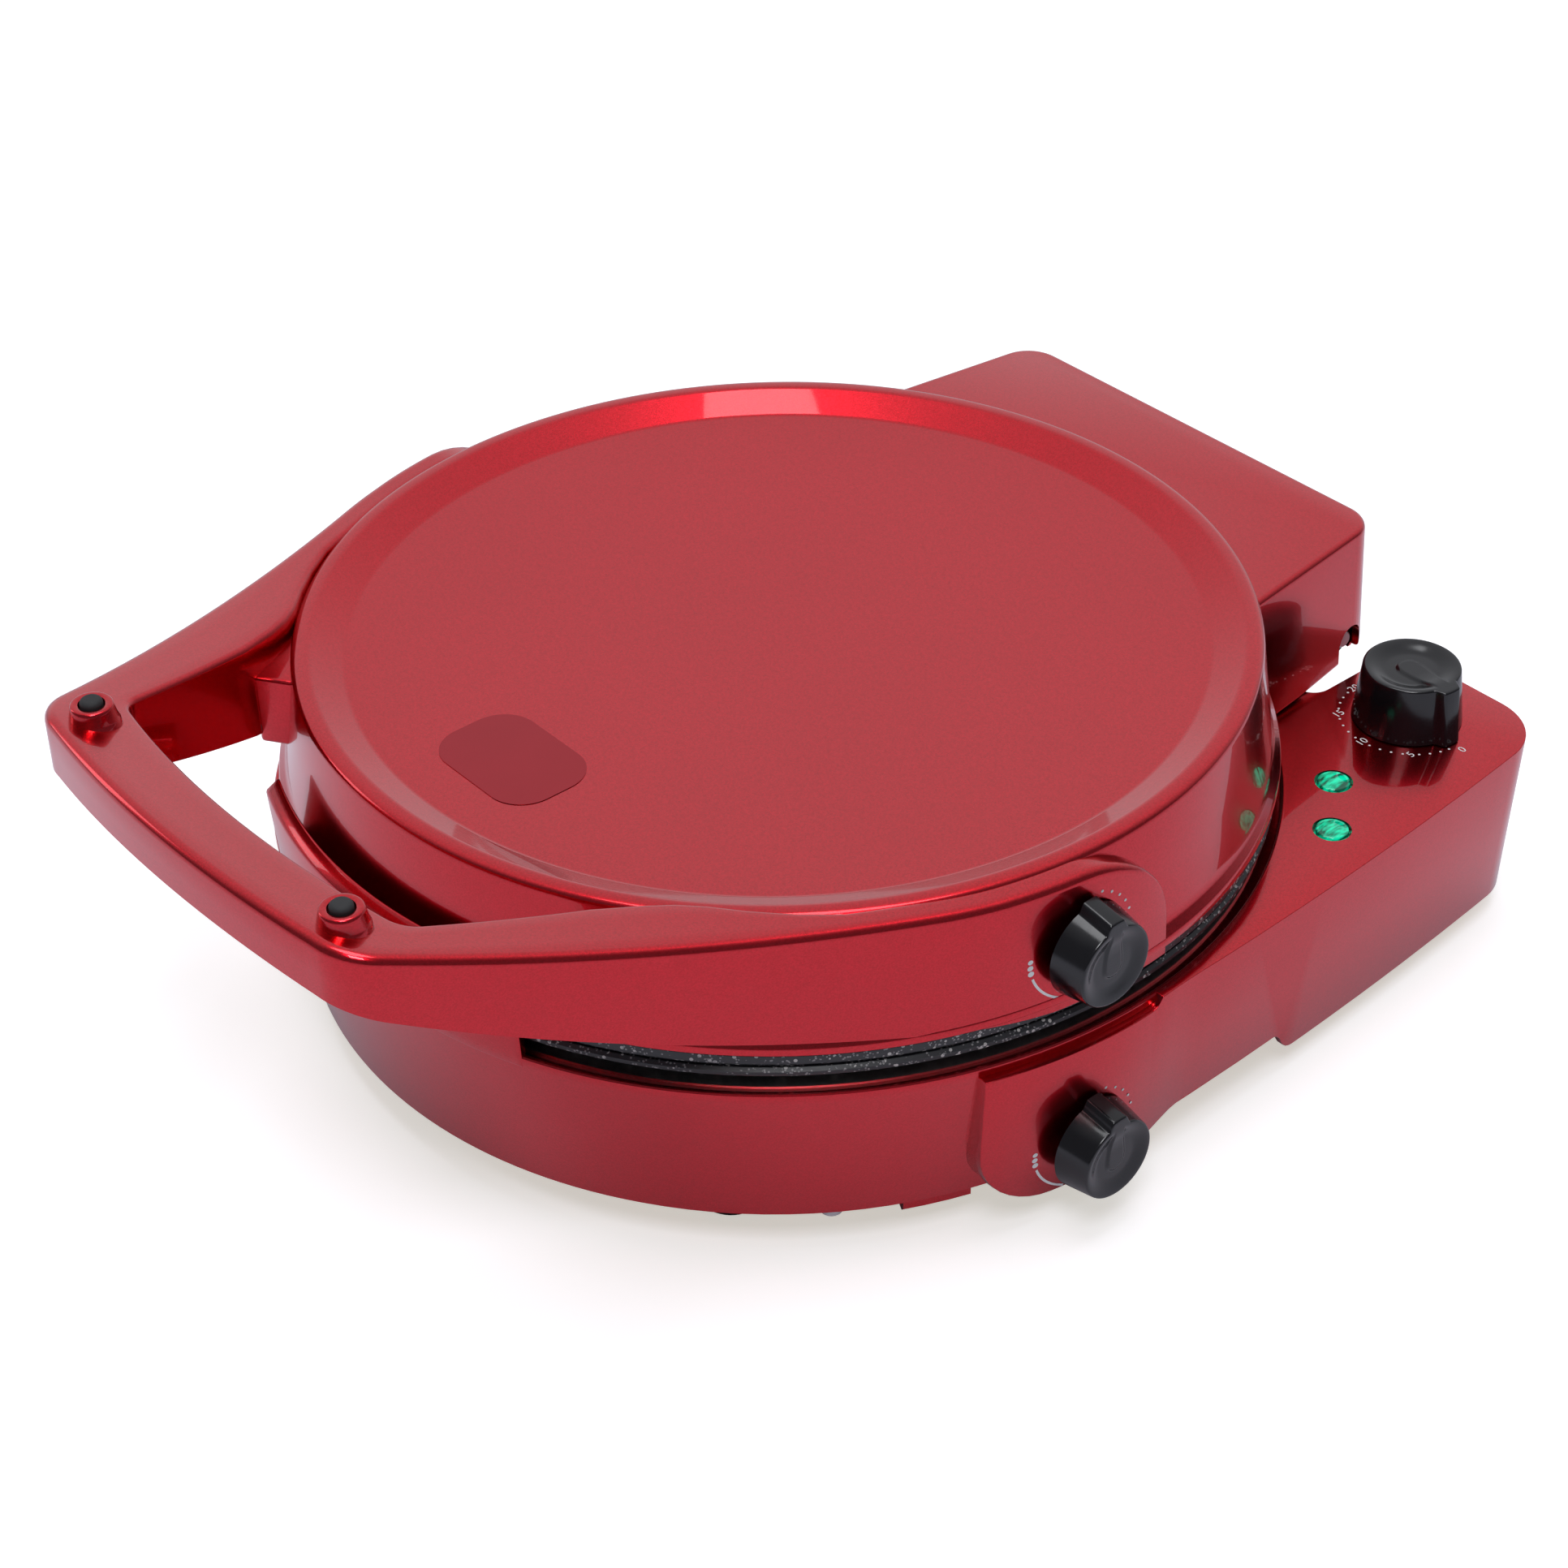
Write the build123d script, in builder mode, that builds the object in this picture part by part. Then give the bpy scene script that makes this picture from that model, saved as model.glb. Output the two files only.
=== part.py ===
"""Electric pizza maker: a round lidded cooker with two hot plates, a loop handle and a rear hinge.

Millimetres, +Z up, the handle at the front (-Y) and the hinge at the back (+Y).
The pieces are drawn around the upright axis of the cooking plates, with the table at z = 0.
The last lines move them all, so that the origin is under the middle of the whole object.
"""
from build123d import *
from math import asin, cos, degrees, radians, sin, sqrt, tan
import os

# Walls and clearances
wall = 2.5
sheet = 0.8
fit_gap = 0.3
running_gap = 0.05
standing = (Align.CENTER, Align.CENTER, Align.MIN)
hanging = (Align.CENTER, Align.CENTER, Align.MAX)

# Base: a round pot with a console at the right and rear
rim_radius = 166.5
rim_height = 70.2
rim_width = 2.5
rim_step = 3.0
pot_bottom_radius = 159.4
pot_bottom_height = 16.8
pan_opening_radius = 152.5

console_front_x = 168.2
console_middle = (165.9, 90.0)
console_rear_x = 156.0
console_rear_y = 202.6
console_inner_x = 92.0
console_corner = 22.0
console_inner_corner = 7.0
console_bottom_height = 18.8
console_draft = 2.8
console_edge_round = 2.0
shelf_left_x = -88.0
shelf_rear_y = 158.2
tray_front_y = 76.0
tray_bottom_height = 9.4

boss_radius = 169.2
boss_draft = 2.8
boss_top_height = 66.7
boss_bottom_height = 11.6
boss_left_y = -57.0
boss_corner = 25.0

chin_start_angle = -27.0
chin_end_angle = -19.0
chin_outer_radius = 156.0
chin_inner_radius = 132.0
chin_bottom_height = 8.9

guard_inner_radius = 163.8
guard_outer_radius = 168.6
guard_foot_radius = 166.4
guard_half_angle = 22.3
guard_outer_height = 98.7
guard_inner_height = 102.8

# Lid: a round cap with two arms, a loop handle and a rear block
lid_top_height = 127.0
lid_top_radius = 155.0
dish_outer_radius = 149.5
dish_inner_radius = 138.5
dish_depth = 5.5
lid_waist_radius = 160.0
lid_waist_height = 88.5
skirt_radius = 163.0
skirt_height = 82.0
skirt_band = 2.5

arm_radius = 162.6
arm_turn_angle = 24.0
arm_end_y = 13.7
arm_end_round = 35.0
arm_top_height = 126.0
arm_bottom_height = 79.3
arm_level_top_y = -48.0
arm_level_bottom_y = -30.0
arm_bend_y = -131.0
arm_bend_top_height = 133.2
arm_bend_bottom_y = -132.0
arm_bend_bottom_height = 98.2
handle_front_y = -228.0
handle_front_bow = 383.0
handle_corner = 20.0
handle_top_height = 158.8
handle_front_bottom_height = 138.0
opening_edge_round = 2.0
opening_front_y = -203.0
opening_corner_x = 71.5
opening_corner_y = -192.0
opening_web_x = 87.5
opening_web_y = -143.5
opening_lid_x = 79.0
opening_lid_y = -136.0
opening_corner_round = 9.0

block_rear_y = 194.1
block_foot_y = 196.6
block_rear_half_width = 83.1
block_spread = 0.129
block_top_height = 121.5
block_corner = 13.0
block_front_bottom = 71.2
block_rear_bottom = 73.3
block_chamfer_y = 187.6
block_chamfer_height = 79.9
block_front_y = 153.0
block_draft = 2.6

# Hinge
hinge_y = 181.7
hinge_height = 79.0
pin_radius = 3.0
hub_radius = 6.2
knuckle_radius = 5.6
bracket_x = 72.0
bracket_width = 8.0
knuckle_inner_x = 58.0
knuckle_outer_x = 84.0

# Plates, pans and heaters
plate_radius = 162.0
plate_floor_radius = 144.0
plate_thickness = 3.5
lower_floor_height = 63.0
lower_rim_bottom = 73.3
lower_rim_top = 76.3
upper_rim_top = 83.0
upper_floor_height = 88.0
plate_seat_radius = 155.0
upper_rib_height = 92.3
heater_radius = 105.0
heater_tube_radius = 3.5
heater_gap_angle = 24.0
lower_pan_floor = 46.5
upper_pan_roof = 110.0

# Knobs and controls
knob_y = -21.0
upper_knob_height = 100.5
lower_knob_height = 29.0
knob_base_radius = 15.5
knob_face_radius = 13.6
knob_length = 11.6
knob_gap = 0.5
pointer_width = 6.0
pointer_proud = 2.2
shaft_radius = 3.0
timer_x = 120.0
timer_y = 173.2
timer_knob_base_radius = 18.4
timer_knob_top_radius = 16.2
timer_knob_length = 20.0
lens_places = ((129.0, 127.0), (146.1, 107.1))
lens_radius = 6.0
lens_flange_radius = 7.6

# Feet and fasteners
foot_radius = 11.0
foot_height = 7.0
foot_recess = 2.0
foot_boss_radius = 13.5
foot_places = ((-90.0, -98.0), (90.0, -98.0), (-85.0, 105.0), (128.0, 172.0))
cover_thickness = 2.5
screw_radius = 1.9
screw_head_radius = 3.6
screw_head_height = 2.0
small_screw_radius = 1.5
small_screw_head_radius = 2.6
handle_foot_x = 64.8
handle_foot_y = -209.2
handle_foot_boss_radius = 7.1
handle_foot_boss_height = 156.4
handle_foot_height = 158.0
handle_foot_radius = 3.5
gland_x = 115.0
gland_height = 34.0
gland_bore_radius = 3.5

pieces = {}


def ring_slope(height):
    """Outer radius of the pot's tapered wall at a height."""
    share = (height - pot_bottom_height) / (rim_height - pot_bottom_height)
    return pot_bottom_radius + share * (rim_radius - pot_bottom_radius)


def lid_slope(height):
    """Outer radius of the lid's wall above its waist."""
    share = (height - lid_waist_height) / (lid_top_height - lid_waist_height)
    return lid_waist_radius + share * (lid_top_radius - lid_waist_radius)


def revolved(points, angle=360.0, start=0.0):
    """A solid turned about the plates' axis, from (radius, height) points."""
    with BuildPart() as turned:
        with BuildSketch(Plane.XZ.rotated((0, 0, start))):
            with BuildLine():
                Polyline(*points, close=True)
            make_face()
        revolve(axis=Axis.Z, revolution_arc=angle)
    return turned.part


def console_outline(inset=0.0):
    """The console and rear shelf seen from above, drawn in by an inset."""
    with BuildSketch() as outline:
        with BuildLine():
            ThreePointArc(
                (console_front_x, 0), console_middle, (console_rear_x, console_rear_y))
            Polyline(
                (console_rear_x, console_rear_y), (console_inner_x, console_rear_y),
                (console_inner_x, shelf_rear_y), (shelf_left_x, shelf_rear_y),
                (shelf_left_x, 0), (console_front_x, 0))
        make_face()
        rear = outline.vertices().filter_by(lambda v: v.Y > console_rear_y - 1)
        fillet(rear.sort_by(Axis.X)[-1], console_corner)
        rear = outline.vertices().filter_by(lambda v: v.Y > console_rear_y - 1)
        fillet(rear.sort_by(Axis.X)[0], console_inner_corner)
        inner = outline.vertices().filter_by(lambda v: abs(v.X - console_inner_x) < 0.1
                                             and abs(v.Y - shelf_rear_y) < 0.1)
        fillet(inner, console_inner_corner)
        if inset:
            offset(amount=-inset, kind=Kind.INTERSECTION)
    return outline.sketch


def side_profile(points, half_width=260.0):
    """A prism along X from (y, height) points, used to trim by the side view."""
    with BuildPart() as prism:
        with BuildSketch(Plane.YZ.offset(-half_width)):
            with BuildLine():
                Polyline(*points, close=True)
            make_face()
        extrude(amount=2 * half_width)
    return prism.part


def turned_by(angle, radius):
    """A point on a circle about the plates' axis; 0 degrees is +X."""
    return (radius * cos(radians(angle)), radius * sin(radians(angle)))


# Base housing: painted shell of the pot, the console, the knob boss and the front guard
inner_rim_radius = rim_radius - rim_width
ledge_height = rim_height - rim_step
console_height = rim_height - tray_bottom_height
console_side = [(-90, rim_height), (console_rear_y + 20, rim_height),
                (console_rear_y + 20, tray_bottom_height), (tray_front_y, tray_bottom_height),
                (tray_front_y - 3, tray_bottom_height + 0.8), (tray_front_y - 5.5, tray_bottom_height + 3.1),
                (tray_front_y - 7, console_bottom_height - 2.3),
                (tray_front_y - 9, console_bottom_height - 0.6), (tray_front_y - 12, console_bottom_height),
                (-90, console_bottom_height)]
boss_outline = [(boss_left_y, boss_top_height), (boss_left_y, boss_bottom_height + boss_corner)]
boss_outline += [(boss_left_y + boss_corner * (1 - cos(radians(a))),
                  boss_bottom_height + boss_corner * (1 - sin(radians(a)))) for a in range(15, 90, 15)]
boss_outline += [(boss_left_y + boss_corner, boss_bottom_height), (-6, boss_bottom_height),
                 (4, boss_bottom_height + 1.5), (12, console_bottom_height - 2.5),
                 (20, console_bottom_height), (20, boss_top_height)]
boss_bottom_radius = boss_radius - tan(radians(boss_draft)) * (boss_top_height - boss_bottom_height)
boss_shell = revolved([(100, boss_bottom_height), (boss_bottom_radius, boss_bottom_height),
                       (boss_radius, boss_top_height), (100, boss_top_height)],
                      angle=30, start=-24) & side_profile(boss_outline)
boss_cavity = revolved([(100, boss_bottom_height - 5), (boss_bottom_radius - wall, boss_bottom_height - 5),
                        (boss_radius - wall, boss_top_height - wall), (100, boss_top_height - wall)],
                       angle=30, start=-24) & side_profile(
    [(boss_left_y + wall, boss_top_height), (boss_left_y + wall, boss_bottom_height + boss_corner),
     (boss_left_y + boss_corner / 2, boss_bottom_height + wall * 1.5),
     (boss_left_y + boss_corner, boss_bottom_height - 6), (26, boss_bottom_height - 6),
     (26, boss_top_height)])
guard = revolved([(guard_inner_radius, ledge_height - 1), (guard_foot_radius - 1.0, ledge_height - 1),
                  (guard_foot_radius, rim_height), (guard_outer_radius, guard_outer_height),
                  (guard_inner_radius, guard_inner_height)],
                 angle=2 * guard_half_angle, start=-90 - guard_half_angle)
cover_post_angles = (150, 215, 270, 325)
cover_post_radius = 152.6
bracket_screw_y = (sqrt(rim_radius ** 2 - bracket_x ** 2) + shelf_rear_y - wall) / 2

with BuildPart() as console_shell:
    with BuildSketch(Plane.XY.offset(rim_height)):
        add(console_outline())
    extrude(amount=-console_height, taper=console_draft)
    add(side_profile(console_side), mode=Mode.INTERSECT)
    fillet(console_shell.faces().sort_by(Axis.Z)[-1].edges().filter_by(
        lambda e: e.center().Y > 20 and e.center().X > console_inner_x - 2), console_edge_round)

with BuildPart() as base_housing:
    add(console_shell.part)
    add(revolved([(0, pot_bottom_height), (pot_bottom_radius, pot_bottom_height),
                  (rim_radius, rim_height), (0, rim_height)]))
    add(boss_shell)
    add(guard)
    with BuildSketch(Plane.XY.offset(rim_height - wall)):
        add(console_outline(wall))
    extrude(amount=-console_height - wall, taper=console_draft, mode=Mode.SUBTRACT)
    add(boss_cavity, mode=Mode.SUBTRACT)
    add(revolved([(0, 0), (pot_bottom_radius - wall, 0), (pot_bottom_radius - wall, pot_bottom_height),
                  (ring_slope(ledge_height - wall) - wall, ledge_height - wall), (0, ledge_height - wall)]),
        mode=Mode.SUBTRACT)
    add(revolved([(0, ledge_height), (inner_rim_radius, ledge_height), (inner_rim_radius, rim_height + 1),
                  (0, rim_height + 1)]), mode=Mode.SUBTRACT)
    with Locations((0, 0, rim_height)):
        Cylinder(pan_opening_radius, 20, mode=Mode.SUBTRACT)
    with Locations((timer_x, timer_y, rim_height)):
        Cylinder(shaft_radius + 1.2, 12, mode=Mode.SUBTRACT)
    with Locations(*[(x, y, rim_height) for x, y in lens_places]):
        Cylinder(lens_radius + fit_gap, 12, mode=Mode.SUBTRACT)
    with Locations(Location((boss_radius, knob_y, lower_knob_height), (0, 90, 0))):
        Cylinder(shaft_radius + 1.2, 24, mode=Mode.SUBTRACT)
    with Locations(Location((gland_x, console_rear_y, gland_height), (90, 0, 0))):
        Cylinder(gland_bore_radius + 3.0, 24, mode=Mode.SUBTRACT)
    for angle in cover_post_angles:
        with Locations(Location((*turned_by(angle, cover_post_radius), pot_bottom_height), (0, 0, angle))):
            Cylinder(4.6, 14, align=standing)
            Box(6, 6, 14, align=(Align.MIN, Align.CENTER, Align.MIN))
    with Locations(*[(*turned_by(a, cover_post_radius), pot_bottom_height) for a in cover_post_angles]):
        Cylinder(screw_radius, 13, align=standing, mode=Mode.SUBTRACT)
    with Locations(*[(side * bracket_x, bracket_screw_y, rim_height) for side in (-1, 1)]):
        Cylinder(small_screw_radius + fit_gap, 10, mode=Mode.SUBTRACT)
pieces["base_housing"] = base_housing


# Base bottom cover: flat plate with a tray under the console and a chin at the front right
chin = revolved([(chin_inner_radius, chin_bottom_height), (chin_outer_radius - 2, chin_bottom_height),
                 (chin_outer_radius, chin_bottom_height + 2),
                 (chin_outer_radius, pot_bottom_height - fit_gap),
                 (chin_inner_radius, pot_bottom_height - fit_gap)],
                angle=chin_end_angle - chin_start_angle, start=chin_start_angle)
cover_top = pot_bottom_height - fit_gap
cover_underside = cover_top - cover_thickness
cover_inset = tan(radians(console_draft)) * console_height + wall + fit_gap
tray_zone = (240.0, console_rear_y + 40.0 - tray_front_y)
tray_zone_middle = (console_inner_x + tray_zone[0] / 2 - 6, tray_front_y + tray_zone[1] / 2)

with BuildPart() as base_bottom_cover:
    with BuildSketch(Plane.XY.offset(cover_underside)):
        Circle(pot_bottom_radius - wall - fit_gap)
        add(console_outline(cover_inset))
    extrude(amount=cover_thickness)
    with BuildSketch(Plane.XY.offset(cover_underside)):
        add(console_outline(cover_inset))
        add(console_outline(cover_inset + wall), mode=Mode.SUBTRACT)
        with Locations((pan_opening_radius / 2 + 200, 100)):
            Rectangle(400, 400, mode=Mode.INTERSECT)
    extrude(amount=console_bottom_height + 2 - cover_underside)
    with BuildSketch(Plane.XY.offset(tray_bottom_height)):
        add(console_outline(cover_inset))
        with Locations(tray_zone_middle):
            Rectangle(*tray_zone, mode=Mode.INTERSECT)
    extrude(amount=cover_underside + 1 - tray_bottom_height)
    add(chin)
    with BuildSketch(Plane.XY.offset(tray_bottom_height + wall)):
        add(console_outline(cover_inset + wall))
        with Locations((tray_zone_middle[0] + wall, tray_zone_middle[1] + wall)):
            Rectangle(*tray_zone, mode=Mode.INTERSECT)
    extrude(amount=20, mode=Mode.SUBTRACT)
    with Locations(*[(x, y, foot_height - foot_recess) for x, y in foot_places]):
        Cylinder(foot_boss_radius, cover_underside + 1 - foot_height + foot_recess,
                 align=standing)
        Cylinder(foot_radius + fit_gap, foot_recess,
                 align=standing, mode=Mode.SUBTRACT)
    with BuildSketch(Plane.XY.offset(cover_underside - 1)):
        with GridLocations(16, 9, 5, 7):
            SlotOverall(12, 3)
    extrude(amount=cover_thickness + 2, mode=Mode.SUBTRACT)
    with Locations(*[(*turned_by(a, cover_post_radius), cover_underside) for a in cover_post_angles]):
        Cylinder(screw_radius + fit_gap, cover_thickness * 2, mode=Mode.SUBTRACT,
                 align=standing)
pieces["base_bottom_cover"] = base_bottom_cover


def pan_screw(height, length, radius=screw_radius, head_radius=screw_head_radius):
    """A pan-head screw standing upright, its head's underside at a height."""
    with BuildPart() as screw:
        with Locations((0, 0, height - screw_head_height)):
            Cylinder(head_radius, screw_head_height, align=standing)
        with Locations((0, 0, height)):
            Cylinder(radius, length, align=standing)
    return screw.part


# Screws that hold the bottom cover
with BuildPart() as base_screws:
    for angle in cover_post_angles:
        x, y = turned_by(angle, cover_post_radius)
        add(pan_screw(cover_underside, 13).moved(Location((x, y, 0))))
pieces["base_screws"] = base_screws

# Rubber feet
with BuildPart() as rubber_feet:
    with Locations(*[(x, y, 0) for x, y in foot_places]):
        Cylinder(foot_radius, foot_height, align=standing)
    chamfer(rubber_feet.faces().filter_by(Axis.Z).group_by(Axis.Z)[0].edges(), 1.2)
pieces["rubber_feet"] = rubber_feet

# Lower plate: cast baking dish with a rim
plate_inner_wall = plate_floor_radius + 3.0
with BuildPart() as lower_plate:
    add(revolved([(0, lower_floor_height), (plate_floor_radius, lower_floor_height),
                  (plate_inner_wall, lower_floor_height + 4), (plate_inner_wall + 1.5, lower_rim_top),
                  (plate_radius - 1, lower_rim_top), (plate_radius, lower_rim_top - 1),
                  (plate_radius, lower_rim_bottom + 0.6), (plate_radius - 0.8, lower_rim_bottom),
                  (plate_seat_radius, lower_rim_bottom), (plate_seat_radius, ledge_height + sheet),
                  (plate_inner_wall + 3.2, ledge_height + sheet),
                  (plate_inner_wall + 1.4, lower_floor_height - 0.5),
                  (plate_inner_wall - 1.5, lower_floor_height - plate_thickness),
                  (0, lower_floor_height - plate_thickness)]))
pieces["lower_plate"] = lower_plate

# Upper plate: shallow domed dish turned over, with a back rib that carries it
with BuildPart() as upper_plate:
    upper_rim_bottom = lower_rim_top + fit_gap
    add(revolved([(0, upper_floor_height), (plate_floor_radius - 4, upper_floor_height),
                  (plate_inner_wall, upper_rim_bottom + 5), (plate_inner_wall + 1.5, upper_rim_bottom),
                  (plate_radius - 1.6, upper_rim_bottom), (plate_radius - 0.2, upper_rim_bottom + 1.6),
                  (plate_radius - 0.2, upper_rim_top - 2), (plate_radius - 2, upper_rim_top),
                  (plate_seat_radius, upper_rim_top), (plate_seat_radius, upper_rib_height),
                  (plate_seat_radius - 3, upper_rib_height), (plate_seat_radius - 4, upper_rim_top + 2),
                  (plate_floor_radius - 2, upper_floor_height + plate_thickness),
                  (0, upper_floor_height + plate_thickness)]))
pieces["upper_plate"] = upper_plate


def heater_ring(height, leg_end):
    """A tubular heater: an open ring with two legs, each on a plain butt joint."""
    half_gap = heater_gap_angle / 2
    with BuildPart() as ring:
        with BuildSketch(Plane.XZ.rotated((0, 0, 90 + half_gap))):
            with Locations((heater_radius, height)):
                Circle(heater_tube_radius)
        revolve(axis=Axis.Z, revolution_arc=360 - heater_gap_angle)
        for side in (-1, 1):
            x, y = turned_by(90 + side * half_gap, heater_radius)
            low, high = sorted((height, leg_end))
            with Locations((x, y, low)):
                Cylinder(heater_tube_radius, high - low, align=standing)
            with Locations((x, y, height)):
                Sphere(heater_tube_radius)
    return ring.part


def heater_clips(height, seat, angles=(-60, 60, 180, 0)):
    """Saddles that hold the heater off the pan."""
    low, high = sorted((height, seat))
    with BuildPart() as clips:
        for angle in angles:
            with Locations(Location((*turned_by(angle, heater_radius), (low + high) / 2), (0, 0, angle))):
                Box(12, 9, high - low)
        add(revolved([(heater_radius - heater_tube_radius - 0.01, height - heater_tube_radius - 0.01),
                      (heater_radius + heater_tube_radius + 0.01, height - heater_tube_radius - 0.01),
                      (heater_radius + heater_tube_radius + 0.01, height + heater_tube_radius + 0.01),
                      (heater_radius - heater_tube_radius - 0.01, height + heater_tube_radius + 0.01)]),
            mode=Mode.SUBTRACT)
    return clips.part


heater_leg_places = [turned_by(90 + side * heater_gap_angle / 2, heater_radius) for side in (-1, 1)]
lower_heater_height = (lower_floor_height - plate_thickness) - heater_tube_radius - 2
upper_heater_height = upper_floor_height + plate_thickness + heater_tube_radius + 2

# Lower pan, heater and clips
with BuildPart() as lower_reflector_pan:
    add(revolved([(0, lower_pan_floor), (130, lower_pan_floor), (149, lower_pan_floor + 13),
                  (pan_opening_radius - 0.9, ledge_height), (160, ledge_height), (160, ledge_height + sheet),
                  (pan_opening_radius - 1.8, ledge_height + sheet), (148.3, lower_pan_floor + 13.5),
                  (129.6, lower_pan_floor + sheet), (0, lower_pan_floor + sheet)]))
    with Locations(*[(x, y, lower_pan_floor) for x, y in heater_leg_places]):
        Cylinder(heater_tube_radius + 1, 6, mode=Mode.SUBTRACT)
pieces["lower_reflector_pan"] = lower_reflector_pan

with BuildPart() as lower_heating_element:
    add(heater_ring(lower_heater_height, lower_pan_floor - 12))
pieces["lower_heating_element"] = lower_heating_element

with BuildPart() as lower_element_clips:
    add(heater_clips(lower_heater_height, lower_pan_floor + sheet))
pieces["lower_element_clips"] = lower_element_clips

# Upper pan, heater and clips
thermostat_size = (25.0, 24.0, 14.0)
thermostat_corner = lid_slope(upper_knob_height + thermostat_size[2] / 2) - wall
upper_thermostat_back = sqrt(thermostat_corner ** 2 - (thermostat_size[1] / 2 - knob_y) ** 2) - fit_gap
with BuildPart() as upper_reflector_pan:
    add(revolved([(0, upper_pan_roof), (112, upper_pan_roof), (118, upper_rib_height),
                  (plate_seat_radius, upper_rib_height), (plate_seat_radius, upper_rib_height + sheet),
                  (118.6, upper_rib_height + sheet), (112.6, upper_pan_roof + sheet),
                  (0, upper_pan_roof + sheet)]))
    with Locations(*[(x, y, upper_pan_roof) for x, y in heater_leg_places]):
        Cylinder(heater_tube_radius + 1, 6, mode=Mode.SUBTRACT)
pieces["upper_reflector_pan"] = upper_reflector_pan

with BuildPart() as upper_heating_element:
    add(heater_ring(upper_heater_height, upper_pan_roof + 7))
pieces["upper_heating_element"] = upper_heating_element

with BuildPart() as upper_element_clips:
    add(heater_clips(upper_heater_height, upper_pan_roof))
pieces["upper_element_clips"] = upper_element_clips


def block_half_width(y):
    """Half the rear block's width at a distance back from the plates' axis."""
    return block_rear_half_width + block_spread * (block_rear_y - y)


def block_outline(inset=0.0):
    """The rear block seen from above."""
    front = 100.0
    with BuildSketch() as outline:
        with BuildLine():
            Polyline((-block_half_width(front), front), (-block_rear_half_width, block_rear_y),
                     (block_rear_half_width, block_rear_y), (block_half_width(front), front), close=True)
        make_face()
        fillet(outline.vertices().group_by(Axis.Y)[-1], block_corner)
        if inset:
            offset(amount=-inset, kind=Kind.INTERSECTION)
    return outline.sketch


def arm_outline(inset=0.0):
    """Both arms and the loop handle seen from above, without the round lid's inside."""
    outer = arm_radius - inset
    front = handle_front_y + inset
    bow = handle_front_bow - inset
    start_angle = degrees(asin(arm_end_y / outer))
    turn_x, turn_y = turned_by(-arm_turn_angle, outer)
    slope = tan(radians(arm_turn_angle))
    corner_x = turn_x
    for _ in range(30):
        corner_y = front + bow - sqrt(bow ** 2 - corner_x ** 2)
        corner_x = turn_x - slope * (turn_y - corner_y)
    start = turned_by(start_angle, outer)
    middle = turned_by((start_angle - arm_turn_angle) / 2, outer)
    with BuildSketch() as outline:
        with BuildLine():
            ThreePointArc(start, middle, (turn_x, turn_y))
            Line((turn_x, turn_y), (corner_x, corner_y))
            ThreePointArc((corner_x, corner_y), (0, front), (-corner_x, corner_y))
            Line((-corner_x, corner_y), (-turn_x, turn_y))
            ThreePointArc((-turn_x, turn_y), (-middle[0], middle[1]), (-start[0], start[1]))
            Line((-start[0], start[1]), start)
        make_face()
        fillet(outline.vertices().group_by(Axis.Y)[0], handle_corner - inset)
    return outline.sketch


def opening_outline(inset=0.0):
    """The finger opening seen from above; a negative inset makes the wall around it."""
    with BuildSketch() as outline:
        with BuildLine():
            ThreePointArc((-opening_corner_x, opening_corner_y - 3), (0, opening_front_y),
                          (opening_corner_x, opening_corner_y - 3))
            Polyline((opening_corner_x, opening_corner_y - 3), (opening_web_x, opening_web_y),
                     (opening_lid_x, opening_lid_y), (0, -100), (-opening_lid_x, opening_lid_y),
                     (-opening_web_x, opening_web_y), (-opening_corner_x, opening_corner_y - 3))
        make_face()
        corners = outline.vertices().filter_by(lambda v: v.Y < opening_web_y + 1)
        fillet(corners.group_by(Axis.Y)[0], opening_corner_round)
        web = outline.vertices().filter_by(
            lambda v: abs(v.Y - opening_web_y) < 0.5 and abs(abs(v.X) - opening_web_x) < 0.5)
        fillet(web, 3.0)
        if inset:
            offset(amount=-inset, kind=Kind.INTERSECTION)
    return outline.sketch


def arm_side(raise_top=0.0, raise_bottom=0.0, ends=0.0):
    """The handle's side view as a prism along X: the top line and the bottom line."""
    low_front = handle_front_y - 12
    with BuildPart() as prism:
        with BuildSketch(Plane.YZ.offset(-230)) as side:
            with BuildLine():
                top = ThreePointArc((arm_level_top_y, arm_top_height + raise_top),
                                    (arm_bend_y, arm_bend_top_height + raise_top),
                                    (low_front, handle_top_height + 1.2 + raise_top))
                Polyline((low_front, handle_top_height + 1.2 + raise_top),
                         (low_front, handle_front_bottom_height + 6 + raise_bottom))
                ThreePointArc((low_front, handle_front_bottom_height + 6 + raise_bottom),
                              (arm_bend_bottom_y, arm_bend_bottom_height + raise_bottom),
                              (arm_level_bottom_y, arm_bottom_height + raise_bottom))
                Polyline((arm_level_bottom_y, arm_bottom_height + raise_bottom),
                         (arm_end_y - ends, arm_bottom_height + raise_bottom),
                         (arm_end_y - ends, arm_top_height + raise_top),
                         (arm_level_top_y, arm_top_height + raise_top))
            make_face()
            fillet(side.vertices().group_by(Axis.X)[-1].sort_by(Axis.Y)[-1], arm_end_round)
        extrude(amount=460)
    return prism.part


def is_opening_top(edge):
    """True for the top edge around the finger opening."""
    middle = edge.position_at(0.5)
    inside = abs(middle.X) < opening_web_x + 5 and opening_front_y - 1 < middle.Y < opening_lid_y
    return inside and middle.Z > arm_top_height + 8 and sqrt(middle.X ** 2 + middle.Y ** 2) > arm_radius - 1


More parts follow.
